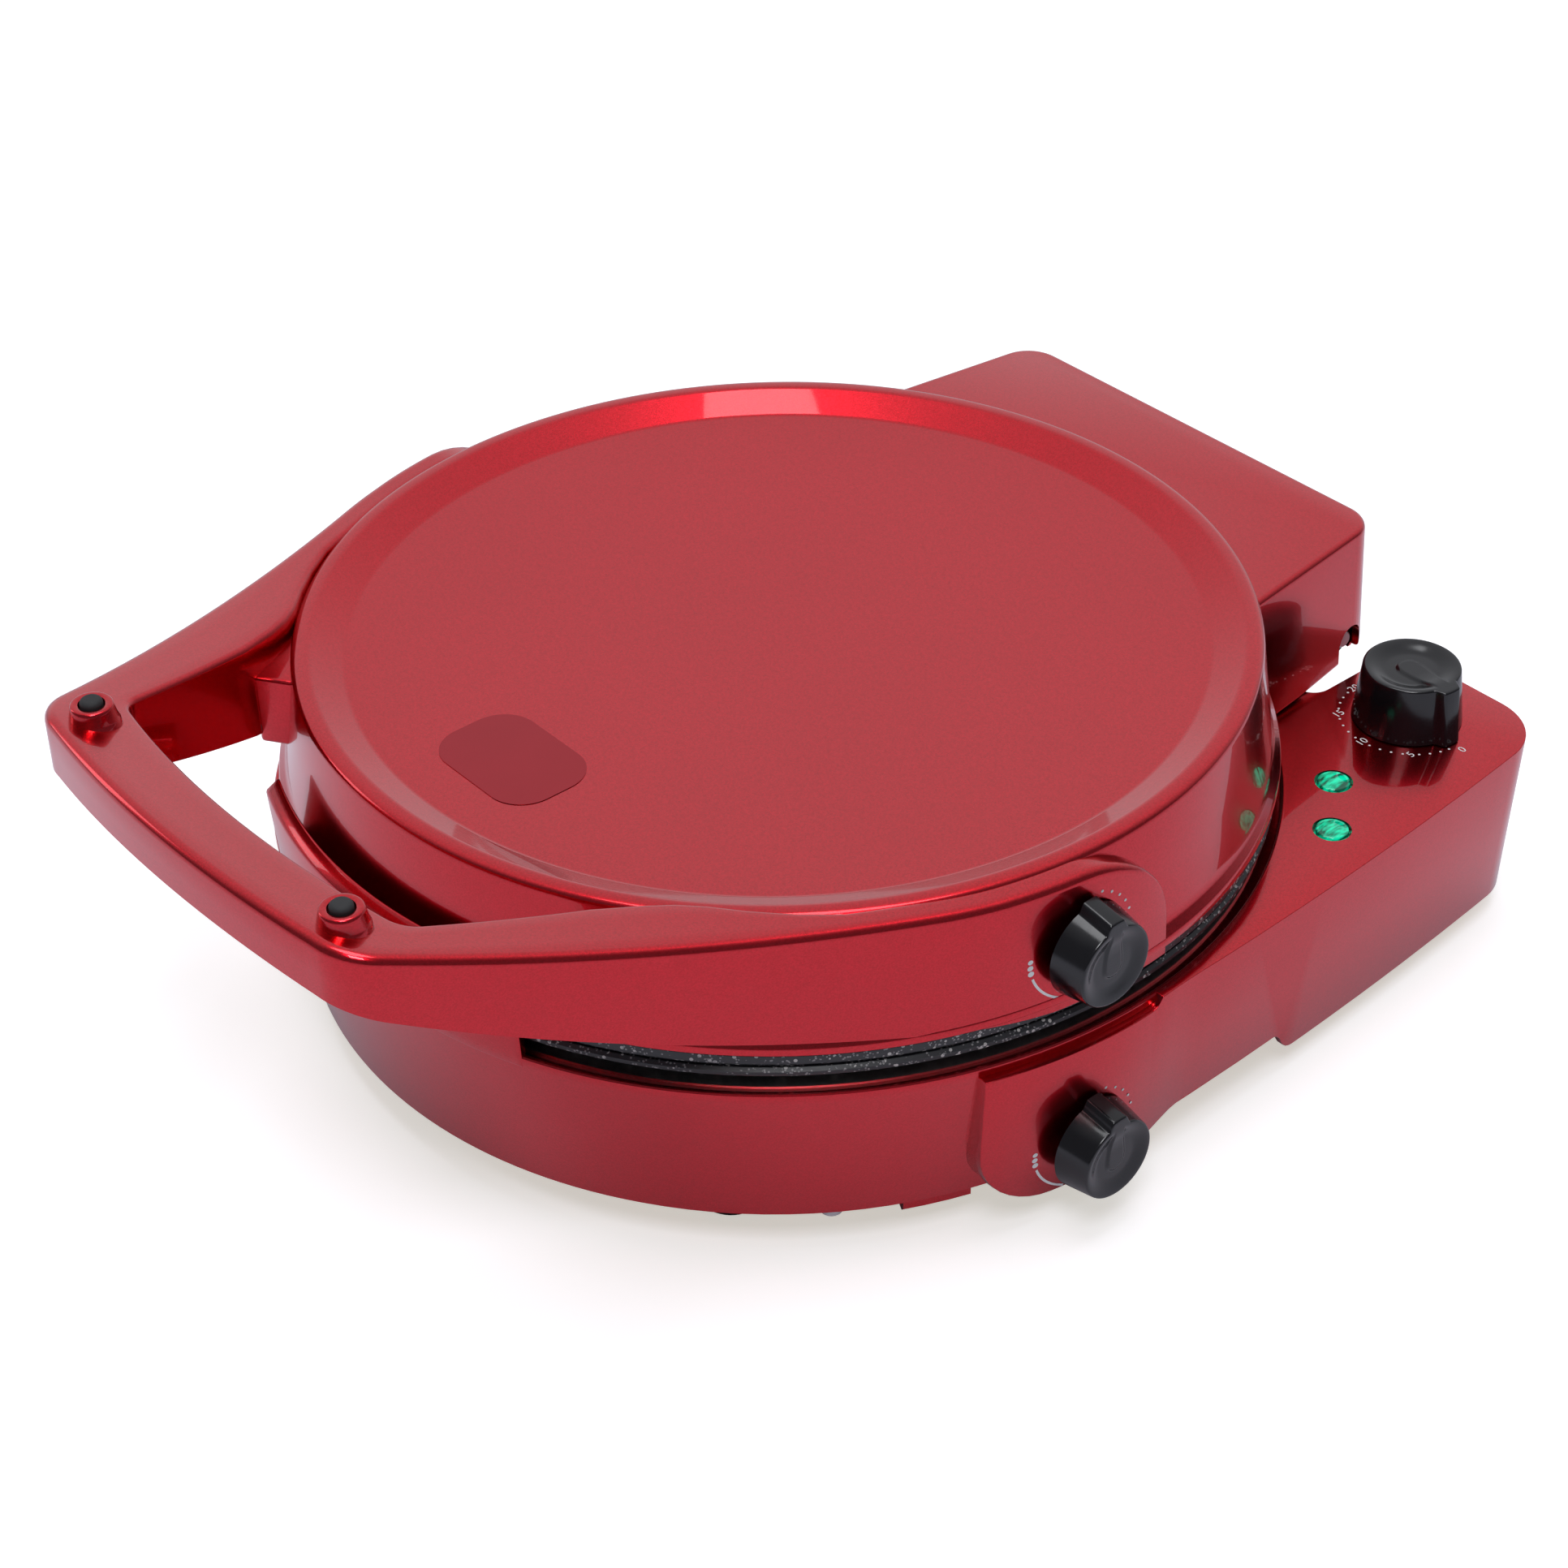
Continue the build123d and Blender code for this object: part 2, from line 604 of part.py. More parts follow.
# Lid housing: round cap, arms with the loop handle, and the hollow rear block
with BuildPart() as arm_solid:
    with BuildSketch(Plane.XY.offset(60)):
        add(arm_outline())
        add(opening_outline(), mode=Mode.SUBTRACT)
        Circle(lid_top_radius - 3, mode=Mode.SUBTRACT)
    extrude(amount=120)
    add(arm_side(), mode=Mode.INTERSECT)
    fillet(arm_solid.edges().filter_by(is_opening_top), opening_edge_round)

with BuildPart() as arm_hollow:
    with BuildSketch(Plane.XY.offset(60)):
        add(arm_outline(wall))
        with Locations((0, -200)):
            Rectangle(400, 270, mode=Mode.INTERSECT)
        add(opening_outline(-wall), mode=Mode.SUBTRACT)
        Circle(lid_waist_radius, mode=Mode.SUBTRACT)
    extrude(amount=120)
    add(arm_side(raise_top=-wall, raise_bottom=-8, ends=wall), mode=Mode.INTERSECT)

with BuildPart() as block_solid:
    with BuildSketch(Plane.XY.offset(block_top_height)):
        add(block_outline())
    extrude(amount=block_front_bottom - block_top_height, taper=-block_draft)
    add(side_profile([(90, block_top_height), (block_rear_y + 20, block_top_height),
                      (block_rear_y + 20, block_chamfer_height),
                      (block_foot_y, block_chamfer_height), (block_chamfer_y, block_rear_bottom),
                      (block_front_y, block_front_bottom), (90, block_front_bottom)]), mode=Mode.INTERSECT)
    fillet(block_solid.faces().sort_by(Axis.Z)[-1].edges().filter_by(lambda e: e.center().Y > 110), 2.0)

with BuildPart() as block_hollow:
    with BuildSketch(Plane.XY.offset(block_top_height - wall)):
        add(block_outline(wall))
    extrude(amount=block_front_bottom - block_top_height - 10, taper=-block_draft)
    add(side_profile([(90, block_top_height), (block_rear_y + 20, block_top_height),
                      (block_rear_y + 20, block_chamfer_height + wall),
                      (block_foot_y - wall, block_chamfer_height + wall * 0.8),
                      (block_chamfer_y - wall * 0.5, block_rear_bottom), (block_chamfer_y - wall * 0.5, 50),
                      (90, 50)]), mode=Mode.INTERSECT)

lid_inner_top = lid_top_radius - wall
lid_outside = [(0, lid_top_height - dish_depth), (dish_inner_radius, lid_top_height - dish_depth),
               (dish_outer_radius, lid_top_height), (lid_top_radius - 1.2, lid_top_height),
               (lid_top_radius, lid_top_height - 1.2), (lid_waist_radius, lid_waist_height),
               (skirt_radius, skirt_height + skirt_band), (skirt_radius, skirt_height)]
lid_mouth_radius = plate_radius + fit_gap
lid_void = [(0, 40), (lid_mouth_radius, 40), (lid_mouth_radius, upper_rim_top + fit_gap),
            (skirt_radius - wall, upper_rim_top + 2), (lid_waist_radius - wall, lid_waist_height + 1),
            (lid_inner_top, lid_top_height - wall), (dish_outer_radius + 1, lid_top_height - wall),
            (dish_inner_radius + 1, lid_top_height - dish_depth - wall),
            (0, lid_top_height - dish_depth - wall)]
post_angles = (45, 135, 225, 315)
post_radius = plate_seat_radius - 4.0
shaft_hole_radius = shaft_radius + 1.2

with BuildPart() as lid_housing:
    add(arm_solid.part)
    add(arm_hollow.part, mode=Mode.SUBTRACT)
    add(block_solid.part)
    add(block_hollow.part, mode=Mode.SUBTRACT)
    add(revolved(lid_outside + [(0, skirt_height)]))
    add(revolved(lid_void), mode=Mode.SUBTRACT)
    with Locations(*[(*turned_by(a, post_radius), upper_rib_height + sheet) for a in post_angles]):
        Cylinder(3.8, lid_top_height - dish_depth - 1 - upper_rib_height - sheet,
                 align=standing)
    with Locations(Location((arm_radius, knob_y, upper_knob_height), (0, 90, 0))):
        Cylinder(shaft_hole_radius, 24, mode=Mode.SUBTRACT)
    with Locations(Location((0, hinge_y, hinge_height), (0, 90, 0))):
        Cylinder(knuckle_radius + 1.0, 240, mode=Mode.SUBTRACT)
    with Locations(*[(side * (knuckle_outer_x + 2), hinge_y, hinge_height) for side in (-1, 1)]):
        Box(8, 2 * (knuckle_radius + 1.0), 16, align=hanging, mode=Mode.SUBTRACT)
    with Locations(*[(side * handle_foot_x, handle_foot_y, handle_foot_boss_height - 8) for side in (-1, 1)]):
        Cone(handle_foot_boss_radius + 0.9, handle_foot_boss_radius - 0.8, 8, align=standing)
    with Locations(*[(side * handle_foot_x, handle_foot_y, handle_foot_boss_height) for side in (-1, 1)]):
        Cylinder(handle_foot_radius, 6, align=hanging, mode=Mode.SUBTRACT)
pieces["lid_housing"] = lid_housing

# Lid hinge frame: a black plate across the block's underside, with four pin knuckles on a rear rail
knuckle_clear = 0.5
frame_underside = block_rear_bottom + 0.7
frame_front_y = plate_radius + 1.2
rail_y = (hinge_y + hub_radius + 0.9, block_rear_y - wall - fit_gap)
rail_z = (hinge_height + 3.0, hinge_height + 9.0)
knuckle_spans = ((knuckle_inner_x, bracket_x - bracket_width / 2 - knuckle_clear),
                 (bracket_x + bracket_width / 2 + knuckle_clear, knuckle_outer_x))
with BuildPart() as lid_hinge_frame:
    with Locations((0, frame_front_y, frame_underside)):
        Box(2 * knuckle_spans[0][1], hinge_y + 2 - frame_front_y, cover_thickness,
            align=(Align.CENTER, Align.MIN, Align.MIN))
    with Locations((0, rail_y[0], rail_z[0])):
        Box(2 * (knuckle_outer_x - 0.5), rail_y[1] - rail_y[0], rail_z[1] - rail_z[0],
            align=(Align.CENTER, Align.MIN, Align.MIN))
    for side in (-1, 1):
        for low_x, high_x in knuckle_spans:
            middle_x = side * (low_x + high_x) / 2
            with Locations(Location((middle_x, hinge_y, hinge_height), (0, 90, 0))):
                Cylinder(knuckle_radius, high_x - low_x)
            with Locations((middle_x, hinge_y, hinge_height)):
                Box(high_x - low_x, rail_y[0] + 1 - hinge_y, rail_z[1] - hinge_height,
                    align=(Align.CENTER, Align.MIN, Align.MIN))
    with BuildSketch(Plane.XY.offset(hinge_height - knuckle_radius - 1)):
        add(block_outline(wall + fit_gap))
    extrude(amount=30, mode=Mode.INTERSECT)
    with Locations(Location((0, hinge_y, hinge_height), (0, 90, 0))):
        Cylinder(pin_radius, 400, mode=Mode.SUBTRACT)
pieces["lid_hinge_frame"] = lid_hinge_frame

# Hinge pins, one at each side
pin_length = knuckle_outer_x - knuckle_inner_x
for side, name in ((-1, "hinge_pin_left"), (1, "hinge_pin_right")):
    with BuildPart() as hinge_pin:
        pin_middle = (side * (knuckle_inner_x + pin_length / 2), hinge_y, hinge_height)
        with Locations(Location(pin_middle, (0, 90, 0))):
            Cylinder(pin_radius, pin_length)
        chamfer(hinge_pin.edges().filter_by(GeomType.CIRCLE), 0.4)
    pieces[name] = hinge_pin

# Hinge brackets: goose-neck arms on the base's rear shelf
neck_front_y = bracket_screw_y - small_screw_head_radius
neck = [(neck_front_y, rim_height), (shelf_rear_y - 0.4, rim_height), (shelf_rear_y - 0.4, rim_height + 11),
        (hinge_y - 8.5, hinge_height + 10.2), (hinge_y - 4.0, hinge_height + 6.4),
        (hinge_y, hinge_height), (hinge_y + 3.0, hinge_height + 6.5),
        (hinge_y - 2.0, hinge_height + 15.5), (hinge_y - 12.0, hinge_height + 20.0),
        (hinge_y - 22.0, hinge_height + 15.5), (neck_front_y, hinge_height + 3.5)]
for side, name in ((-1, "hinge_bracket_left"), (1, "hinge_bracket_right")):
    with BuildPart() as hinge_bracket:
        with BuildSketch(Plane.YZ.offset(side * bracket_x - bracket_width / 2)):
            with BuildLine():
                Polyline(*neck, close=True)
            make_face()
            with Locations((hinge_y, hinge_height)):
                Circle(hub_radius)
                Circle(pin_radius + running_gap, mode=Mode.SUBTRACT)
        extrude(amount=bracket_width)
        with Locations((side * bracket_x, bracket_screw_y, rim_height)):
            Cylinder(small_screw_radius, 9, align=standing, mode=Mode.SUBTRACT)
    pieces[name] = hinge_bracket

with BuildPart() as hinge_bracket_screws:
    for side in (-1, 1):
        add(pan_screw(rim_height - wall, wall + 8, small_screw_radius, small_screw_head_radius).moved(
            Location((side * bracket_x, bracket_screw_y, 0))))
pieces["hinge_bracket_screws"] = hinge_bracket_screws

# Handle lower cover: closes the underside of the arms and the loop
with BuildPart() as handle_lower_cover:
    with BuildSketch(Plane.XY.offset(60)):
        add(arm_outline(wall + fit_gap))
        with Locations((0, -200)):
            Rectangle(400, 270 - 2 * fit_gap, mode=Mode.INTERSECT)
        add(opening_outline(-wall - fit_gap), mode=Mode.SUBTRACT)
        Circle(skirt_radius + fit_gap, mode=Mode.SUBTRACT)
    extrude(amount=120)
    add(arm_side(raise_bottom=1.0), mode=Mode.INTERSECT)
    add(arm_side(raise_bottom=1.0 + cover_thickness), mode=Mode.SUBTRACT)
pieces["handle_lower_cover"] = handle_lower_cover

# Rubber buttons that the opened lid stands on
with BuildPart() as handle_feet:
    button_foot = handle_foot_boss_height - 6
    with Locations(*[(side * handle_foot_x, handle_foot_y, button_foot) for side in (-1, 1)]):
        Cylinder(handle_foot_radius, handle_foot_height - button_foot, align=standing)
    fillet(handle_feet.faces().filter_by(Axis.Z).group_by(Axis.Z)[-1].edges(), 1.5)
pieces["handle_feet"] = handle_feet

# Bare film patch on the lid
patch_size = (47.0, 33.0)
patch_place = (0.0, -106.0)
with BuildPart() as lid_patch:
    with BuildSketch(Plane.XY.offset(lid_top_height - dish_depth)):
        with Locations(patch_place):
            RectangleRounded(*patch_size, 12)
    extrude(amount=0.2)
pieces["lid_patch"] = lid_patch


def temperature_control(face_x, height, back_x):
    """A thermostat body behind the wall, with its round bush, and where its shaft runs."""
    with BuildPart() as body:
        with Locations((back_x - thermostat_size[0] / 2, knob_y, height)):
            Box(*thermostat_size)
        with Locations(Location((back_x, knob_y, height), (0, 90, 0))):
            Cylinder(shaft_radius + 0.9, face_x - wall - back_x - fit_gap,
                     align=standing)
        with Locations(Location((face_x + 5, knob_y, height), (0, -90, 0))):
            Cylinder(shaft_radius + running_gap, face_x + 5 - back_x + 12,
                     align=standing, mode=Mode.SUBTRACT)
    return body.part


def knob_with_pointer(base_radius, face_radius, length, bore_depth):
    """A tapered knob standing on z = 0, its pointer towards +Y, bored from below."""
    with BuildPart() as knob:
        Cone(base_radius, face_radius, length, align=standing)
        with BuildSketch():
            with Locations((0, base_radius / 2 + pointer_proud / 2)):
                Rectangle(pointer_width, base_radius + pointer_proud)
        extrude(amount=length, taper=4)
        fillet(knob.faces().sort_by(Axis.Z)[-1].edges(), 0.8)
        Cylinder(base_radius - 2.4, 3.0, align=standing, mode=Mode.SUBTRACT)
        Cylinder(shaft_radius + 0.01, bore_depth, align=standing, mode=Mode.SUBTRACT)
    return knob.part


def shaft(length):
    """A control shaft standing on z = 0."""
    with BuildPart() as rod:
        Cylinder(shaft_radius, length, align=standing)
        chamfer(rod.edges().filter_by(GeomType.CIRCLE), 0.3)
    return rod.part


# Upper and lower temperature controls, with their knobs
upper_wall_x = arm_radius
lower_wall_x = boss_radius - 1.2
temperature_sets = (("upper", upper_wall_x, upper_knob_height, upper_thermostat_back),
                    ("lower", lower_wall_x, lower_knob_height, lower_wall_x - wall - 9.0))
bore_depth = 8.5
shaft_reach = 10.0
for place, wall_x, height, back_x in temperature_sets:
    with BuildPart() as thermostat:
        add(temperature_control(wall_x, height, back_x))
    pieces[place + "_thermostat"] = thermostat
    knob_plane = Plane((wall_x + knob_gap, knob_y, height), x_dir=(0, 1, 0), z_dir=(1, 0, 0))
    with BuildPart() as temperature_knob:
        add(knob_plane.location
            * knob_with_pointer(knob_base_radius, knob_face_radius, knob_length, bore_depth))
    pieces[place + "_temperature_knob"] = temperature_knob
    shaft_start = back_x - shaft_reach
    shaft_plane = Plane((shaft_start, knob_y, height), x_dir=(0, 1, 0), z_dir=(1, 0, 0))
    with BuildPart() as control_shaft:
        add(shaft_plane.location * shaft(wall_x + knob_gap + bore_depth - shaft_start))
    pieces[place + "_control_shaft"] = control_shaft

# Timer with its shaft and knob
timer_body_radius = 23.0
timer_body_top = rim_height - wall
timer_body_bottom = timer_body_top - 26.0
with BuildPart() as timer_body:
    with Locations((timer_x, timer_y, timer_body_bottom)):
        Cylinder(timer_body_radius, timer_body_top - timer_body_bottom, align=standing)
    with Locations((timer_x, timer_y, timer_body_top)):
        Cylinder(shaft_radius + 0.9, wall - fit_gap, align=standing)
    with Locations((timer_x, timer_y, timer_body_bottom + 6)):
        Cylinder(shaft_radius + running_gap, 40, align=standing, mode=Mode.SUBTRACT)
pieces["timer_body"] = timer_body

timer_angle = -95.0
timer_plane = Plane((timer_x, timer_y, rim_height + knob_gap),
                    x_dir=(cos(radians(timer_angle)), sin(radians(timer_angle)), 0), z_dir=(0, 0, 1))
timer_bore_depth = 14.0
with BuildPart() as timer_knob:
    add(timer_plane.location * knob_with_pointer(timer_knob_base_radius, timer_knob_top_radius,
                                                 timer_knob_length, timer_bore_depth))
pieces["timer_knob"] = timer_knob
timer_shaft_bottom = timer_body_bottom + 7
with BuildPart() as timer_shaft:
    add(shaft(rim_height + knob_gap + timer_bore_depth - timer_shaft_bottom).moved(
        Location((timer_x, timer_y, timer_shaft_bottom))))
pieces["timer_shaft"] = timer_shaft

# Indicator lenses and the lamps under them
for name, (x, y) in zip(("indicator_lens_rear", "indicator_lens_front"), lens_places):
    with BuildPart() as lens:
        with Locations((x, y, rim_height - wall - 1.5)):
            Cylinder(lens_flange_radius, 1.5, align=standing)
        with Locations((x, y, rim_height - wall)):
            Cylinder(lens_radius, wall + 0.8, align=standing)
        fillet(lens.faces().sort_by(Axis.Z)[-1].edges(), 0.7)
    pieces[name] = lens
with BuildPart() as indicator_lamps:
    with Locations(*[(x, y, rim_height - wall - 1.5) for x, y in lens_places]):
        Cylinder(3.0, 18, align=hanging)
pieces["indicator_lamps"] = indicator_lamps

# Terminal block on the bottom cover's tray, and the cord inlet bush in the rear wall
terminal_place = (130.0, 120.0, tray_bottom_height + wall)
with BuildPart() as terminal_block:
    with Locations(terminal_place):
        Box(30, 18, 14, align=standing)
    with Locations((terminal_place[0], terminal_place[1], terminal_place[2] + 8)):
        with GridLocations(9, 9, 3, 2):
            Cylinder(2.2, 12, align=standing, mode=Mode.SUBTRACT)
pieces["terminal_block"] = terminal_block

gland_flange_radius = gland_bore_radius + 5.2
gland_flange_drop = rim_height - gland_height - gland_flange_radius
gland_flange_y = console_rear_y - tan(radians(console_draft)) * gland_flange_drop
gland_face_y = console_rear_y + 0.2
with BuildPart() as cord_gland:
    with Locations(Location((gland_x, gland_face_y, gland_height), (90, 0, 0))):
        Cylinder(gland_flange_radius, gland_face_y - gland_flange_y, align=standing)
        Cylinder(gland_bore_radius + 2.7, 14, align=standing)
    with Locations(Location((gland_x, gland_face_y + 1, gland_height), (90, 0, 0))):
        Cylinder(gland_bore_radius, 40, align=standing, mode=Mode.SUBTRACT)
pieces["cord_gland"] = cord_gland

# Thermal fuse clipped on the upper pan
with BuildPart() as thermal_fuse:
    with Locations(Location((-40, 60, upper_pan_roof + sheet + 2.0), (0, 90, 0))):
        Cylinder(2.0, 22)
pieces["thermal_fuse"] = thermal_fuse

# Everything is shifted so that the origin lies under the middle of the plan
plan_right = lower_wall_x + knob_gap + knob_length
plan_left = -rim_radius
plan_back = gland_face_y
to_middle = Location((-(plan_right + plan_left) / 2, -(handle_front_y + plan_back) / 2, 0))
os.makedirs("parts", exist_ok=True)
for name, piece in pieces.items():
    placed = piece.part.moved(to_middle)
    placed.label = name
    export_step(placed, "parts/" + name + ".step")
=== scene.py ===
"""The pizza maker's looks: painted shells, knobs, dial marks, lenses, plates and studio."""
import bpy
from math import asin, atan2, cos, degrees, hypot, radians, sin, sqrt, tan
from mathutils import Matrix, Vector


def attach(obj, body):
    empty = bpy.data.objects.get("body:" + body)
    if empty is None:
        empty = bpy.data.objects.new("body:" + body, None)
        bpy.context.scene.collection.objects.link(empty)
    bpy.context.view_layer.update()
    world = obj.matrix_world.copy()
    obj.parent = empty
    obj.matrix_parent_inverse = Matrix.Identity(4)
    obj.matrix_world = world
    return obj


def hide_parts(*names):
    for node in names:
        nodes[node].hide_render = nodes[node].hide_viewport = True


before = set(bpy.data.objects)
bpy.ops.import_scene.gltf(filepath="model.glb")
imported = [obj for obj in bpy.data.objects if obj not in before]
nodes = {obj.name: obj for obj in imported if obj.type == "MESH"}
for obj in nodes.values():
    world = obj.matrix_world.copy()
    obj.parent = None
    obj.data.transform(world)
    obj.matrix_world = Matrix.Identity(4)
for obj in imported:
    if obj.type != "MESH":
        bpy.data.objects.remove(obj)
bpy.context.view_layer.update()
scene = bpy.context.scene
bpy.ops.object.select_all(action="DESELECT")

MM = 0.001
SHIFT = Vector((-6.8, 12.6, 0.0))       # from the plates' axis to the middle of the plan

# Sizes in mm that several pieces share; x and y are measured from the plates' axis
CAP_TOP_HEIGHT = 126.0
ARM_RADIUS, ARM_INNER_RADIUS = 162.6, 153.0
ARM_TURN = 24.0                         # degrees in front of +X where the arm leaves the lid's round
HANDLE_FOOT_X, HANDLE_FOOT_Y = 64.8, -209.2
HINGE_Y, HINGE_HEIGHT = 181.7, 79.0
RIM_HEIGHT, LEDGE_HEIGHT = 70.2, 66.7
WALL = 2.5
CONSOLE_LEAN = tan(radians(2.8))        # mm that the console's walls draw in per mm towards the table
BOSS_RADIUS, BOSS_RIM_RADIUS = 169.2, 169.37    # of the lower knob's boss, at the ledge and at the rim
CONTROL_Y, UPPER_CONTROL_HEIGHT, LOWER_CONTROL_HEIGHT = -21.0, 100.5, 29.0
TIMER_X, TIMER_Y = 120.0, 173.2
SHAFT_HOLE_RADIUS = 4.2
LENS_PLACES = {"indicator_lens_rear": (129.0, 127.0), "indicator_lens_front": (146.1, 107.1)}


def at(x, y, z):
    """A point given in mm from the plates' axis, in the part's frame in metres."""
    return (Vector((x, y, z)) + SHIFT) * MM


# Camera at the photograph's angle
camera_data = bpy.data.cameras.new("camera")
camera = bpy.data.objects.new("camera", camera_data)
scene.collection.objects.link(camera)
scene.camera = camera
camera_data.sensor_width = 36.0
camera_data.lens = 75.98
camera_data.clip_end = 50.0
elevation, azimuth, roll = radians(36.03), radians(50.081), radians(-1.092)
backward = Vector((sin(azimuth) * cos(elevation), -cos(azimuth) * cos(elevation), sin(elevation)))
level_right = Vector((cos(azimuth), sin(azimuth), 0.0))
level_up = backward.cross(level_right)
right = cos(roll) * level_right + sin(roll) * level_up
up = -sin(roll) * level_right + cos(roll) * level_up
turn = Matrix((right, up, backward)).transposed().to_4x4()
camera.matrix_world = Matrix.Translation(at(681.5, -568.7, 706.3)) @ turn

scene.view_settings.view_transform = "Standard"


class Sum:
    """A shader socket that can be added, multiplied and so on, each sum being a Math node."""

    def __init__(self, shader, socket):
        self.shader, self.socket = shader, socket

    def _math(self, operation, first, second):
        return self.shader.node("ShaderNodeMath", {"operation": operation}, {0: first, 1: second})

    def __add__(self, other):
        return self._math("ADD", self, other)

    def __mul__(self, other):
        return self._math("MULTIPLY", self, other)

    def __sub__(self, other):
        return self._math("SUBTRACT", self, other)

    def __rsub__(self, other):
        return self._math("SUBTRACT", other, self)

    def __gt__(self, other):
        return self._math("GREATER_THAN", self, other)

    __radd__ = __add__
    __rmul__ = __mul__


class Finish:
    """A material and the nodes in it."""

    def __init__(self, name, **constants):
        self.material = bpy.data.materials.new(name)
        self.material.use_nodes = True
        self.tree = self.material.node_tree
        self.surface = self.tree.nodes["Principled BSDF"]
        for label, value in constants.items():
            self.surface.inputs[label.replace("_", " ")].default_value = value

    def node(self, kind, settings=None, inputs=None, output=0):
        """Adds a node: its settings first, then values or links for its sockets."""
        new = self.tree.nodes.new(kind)
        for key, value in (settings or {}).items():
            if key == "stops":
                for element, (place, colour) in zip(new.color_ramp.elements, value):
                    element.position, element.color = place, colour
            else:
                setattr(new, key, value)
        for key, value in (inputs or {}).items():
            if isinstance(value, Sum):
                self.tree.links.new(value.socket, new.inputs[key])
            else:
                new.inputs[key].default_value = value
        return Sum(self, new.outputs[output])

    def place(self):
        """Object coordinates in metres."""
        return self.node("ShaderNodeTexCoord", output=3)

    def noise(self, scale, detail=3.0):
        return self.node("ShaderNodeTexNoise", None,
                         {"Vector": self.place(), "Scale": scale, "Detail": detail, "Roughness": 0.55})

    def ramp(self, value, low, high, first=(0, 0, 0, 1), last=(1, 1, 1, 1)):
        return self.node("ShaderNodeValToRGB", {"stops": ((low, first), (high, last))}, {0: value})

    def mix(self, amount, first, second):
        return self.node("ShaderNodeMix", {"data_type": "RGBA"}, {0: amount, 6: first, 7: second}, output=2)

    def feed(self, label, value):
        self.tree.links.new(value.socket, self.surface.inputs[label])

    def bump(self, height, strength, distance):
        self.feed("Normal", self.node(
            "ShaderNodeBump", None, {"Strength": strength, "Distance": distance, "Height": height}))


def red_lacquer():
    """Metallic red base under a clear gloss coat, with fine flakes and a faint grain."""
    f = Finish("red_lacquer", Metallic=1.0, Roughness=0.24, Coat_Weight=0.8, Coat_Roughness=0.03, Coat_IOR=1.5)
    flakes = f.node("ShaderNodeTexVoronoi", {"feature": "F1"}, {"Vector": f.place(), "Scale": 2600.0}, output=1)
    tone = f.ramp(flakes, 0.1, 0.9, (0.50, 0.002, 0.009, 1), (0.67, 0.007, 0.020, 1))
    cloud = f.noise(9.0, 2.0)
    f.feed("Base Color", f.mix(f.ramp(cloud, 0.35, 0.65) * 0.14, tone, (0.42, 0.003, 0.008, 1)))
    f.feed("Roughness", 0.22 + f.noise(60.0) * 0.06)
    f.bump(f.noise(1500.0, 1.0), 0.035, 0.0002)
    return f.material


def gloss_black():
    """Moulded gloss plastic with faint handling marks."""
    f = Finish("gloss_black", Roughness=0.16, Specular_IOR_Level=0.55)
    f.feed("Base Color", f.mix(f.noise(40.0), (0.0035, 0.0035, 0.0045, 1), (0.006, 0.006, 0.0075, 1)))
    f.feed("Roughness", 0.11 + f.noise(180.0, 5.0) * 0.12)
    f.bump(f.noise(900.0, 2.0), 0.04, 0.0002)
    return f.material


def satin_black():
    """Textured plastic, such as covers and brackets."""
    f = Finish("satin_black", Roughness=0.5)
    f.feed("Base Color", f.mix(f.noise(30.0), (0.014, 0.014, 0.015, 1), (0.024, 0.024, 0.026, 1)))
    f.feed("Roughness", 0.43 + f.noise(240.0) * 0.14)
    f.bump(f.noise(1400.0, 3.0), 0.12, 0.0003)
    return f.material


def speckled_coating():
    """Stone-effect non-stick coating: near black with pale flecks of several sizes."""
    f = Finish("speckled_coating", Roughness=0.34, Metallic=0.0, Specular_IOR_Level=0.5)
    colour = f.mix(f.noise(35.0), (0.016, 0.016, 0.018, 1), (0.028, 0.028, 0.031, 1))
    for scale, limit, fleck in ((430.0, 0.26, (0.46, 0.44, 0.42, 1)), (900.0, 0.30, (0.24, 0.23, 0.23, 1))):
        cells = f.node("ShaderNodeTexVoronoi", {"feature": "F1"}, {"Vector": f.place(), "Scale": scale})
        patches = f.noise(scale * 0.22, 2.0) > 0.47
        colour = f.mix((limit - cells > 0.0) * patches, colour, fleck)
    f.feed("Base Color", colour)
    f.feed("Roughness", 0.28 + f.noise(300.0) * 0.14)
    f.bump(f.noise(800.0, 4.0), 0.10, 0.0003)
    return f.material


def steel(name, colour, rough, fineness=1.0):
    """Bare metal with a fine rolled grain."""
    f = Finish(name, Metallic=1.0, Roughness=rough)
    grain = f.noise(420.0 * fineness, 6.0)
    dark = tuple(c * 0.82 for c in colour[:3]) + (1,)
    f.feed("Base Color", f.mix(grain, dark, colour))
    f.feed("Roughness", rough - 0.06 + grain * 0.14)
    f.bump(grain, 0.05, 0.0002)
    return f.material


def rubber():
    """Matt black rubber, for the feet."""
    f = Finish("rubber", Roughness=0.72)
    f.feed("Base Color", f.mix(f.noise(90.0), (0.012, 0.012, 0.013, 1), (0.022, 0.022, 0.023, 1)))
    f.bump(f.noise(1500.0, 3.0), 0.2, 0.0003)
    return f.material


def ceramic():
    """Off-white fired ceramic, for the thermostats and the terminals."""
    f = Finish("ceramic", Roughness=0.62)
    f.feed("Base Color", f.mix(f.noise(70.0, 5.0), (0.66, 0.64, 0.58, 1), (0.80, 0.78, 0.73, 1)))
    f.bump(f.noise(900.0, 3.0), 0.15, 0.0003)
    return f.material


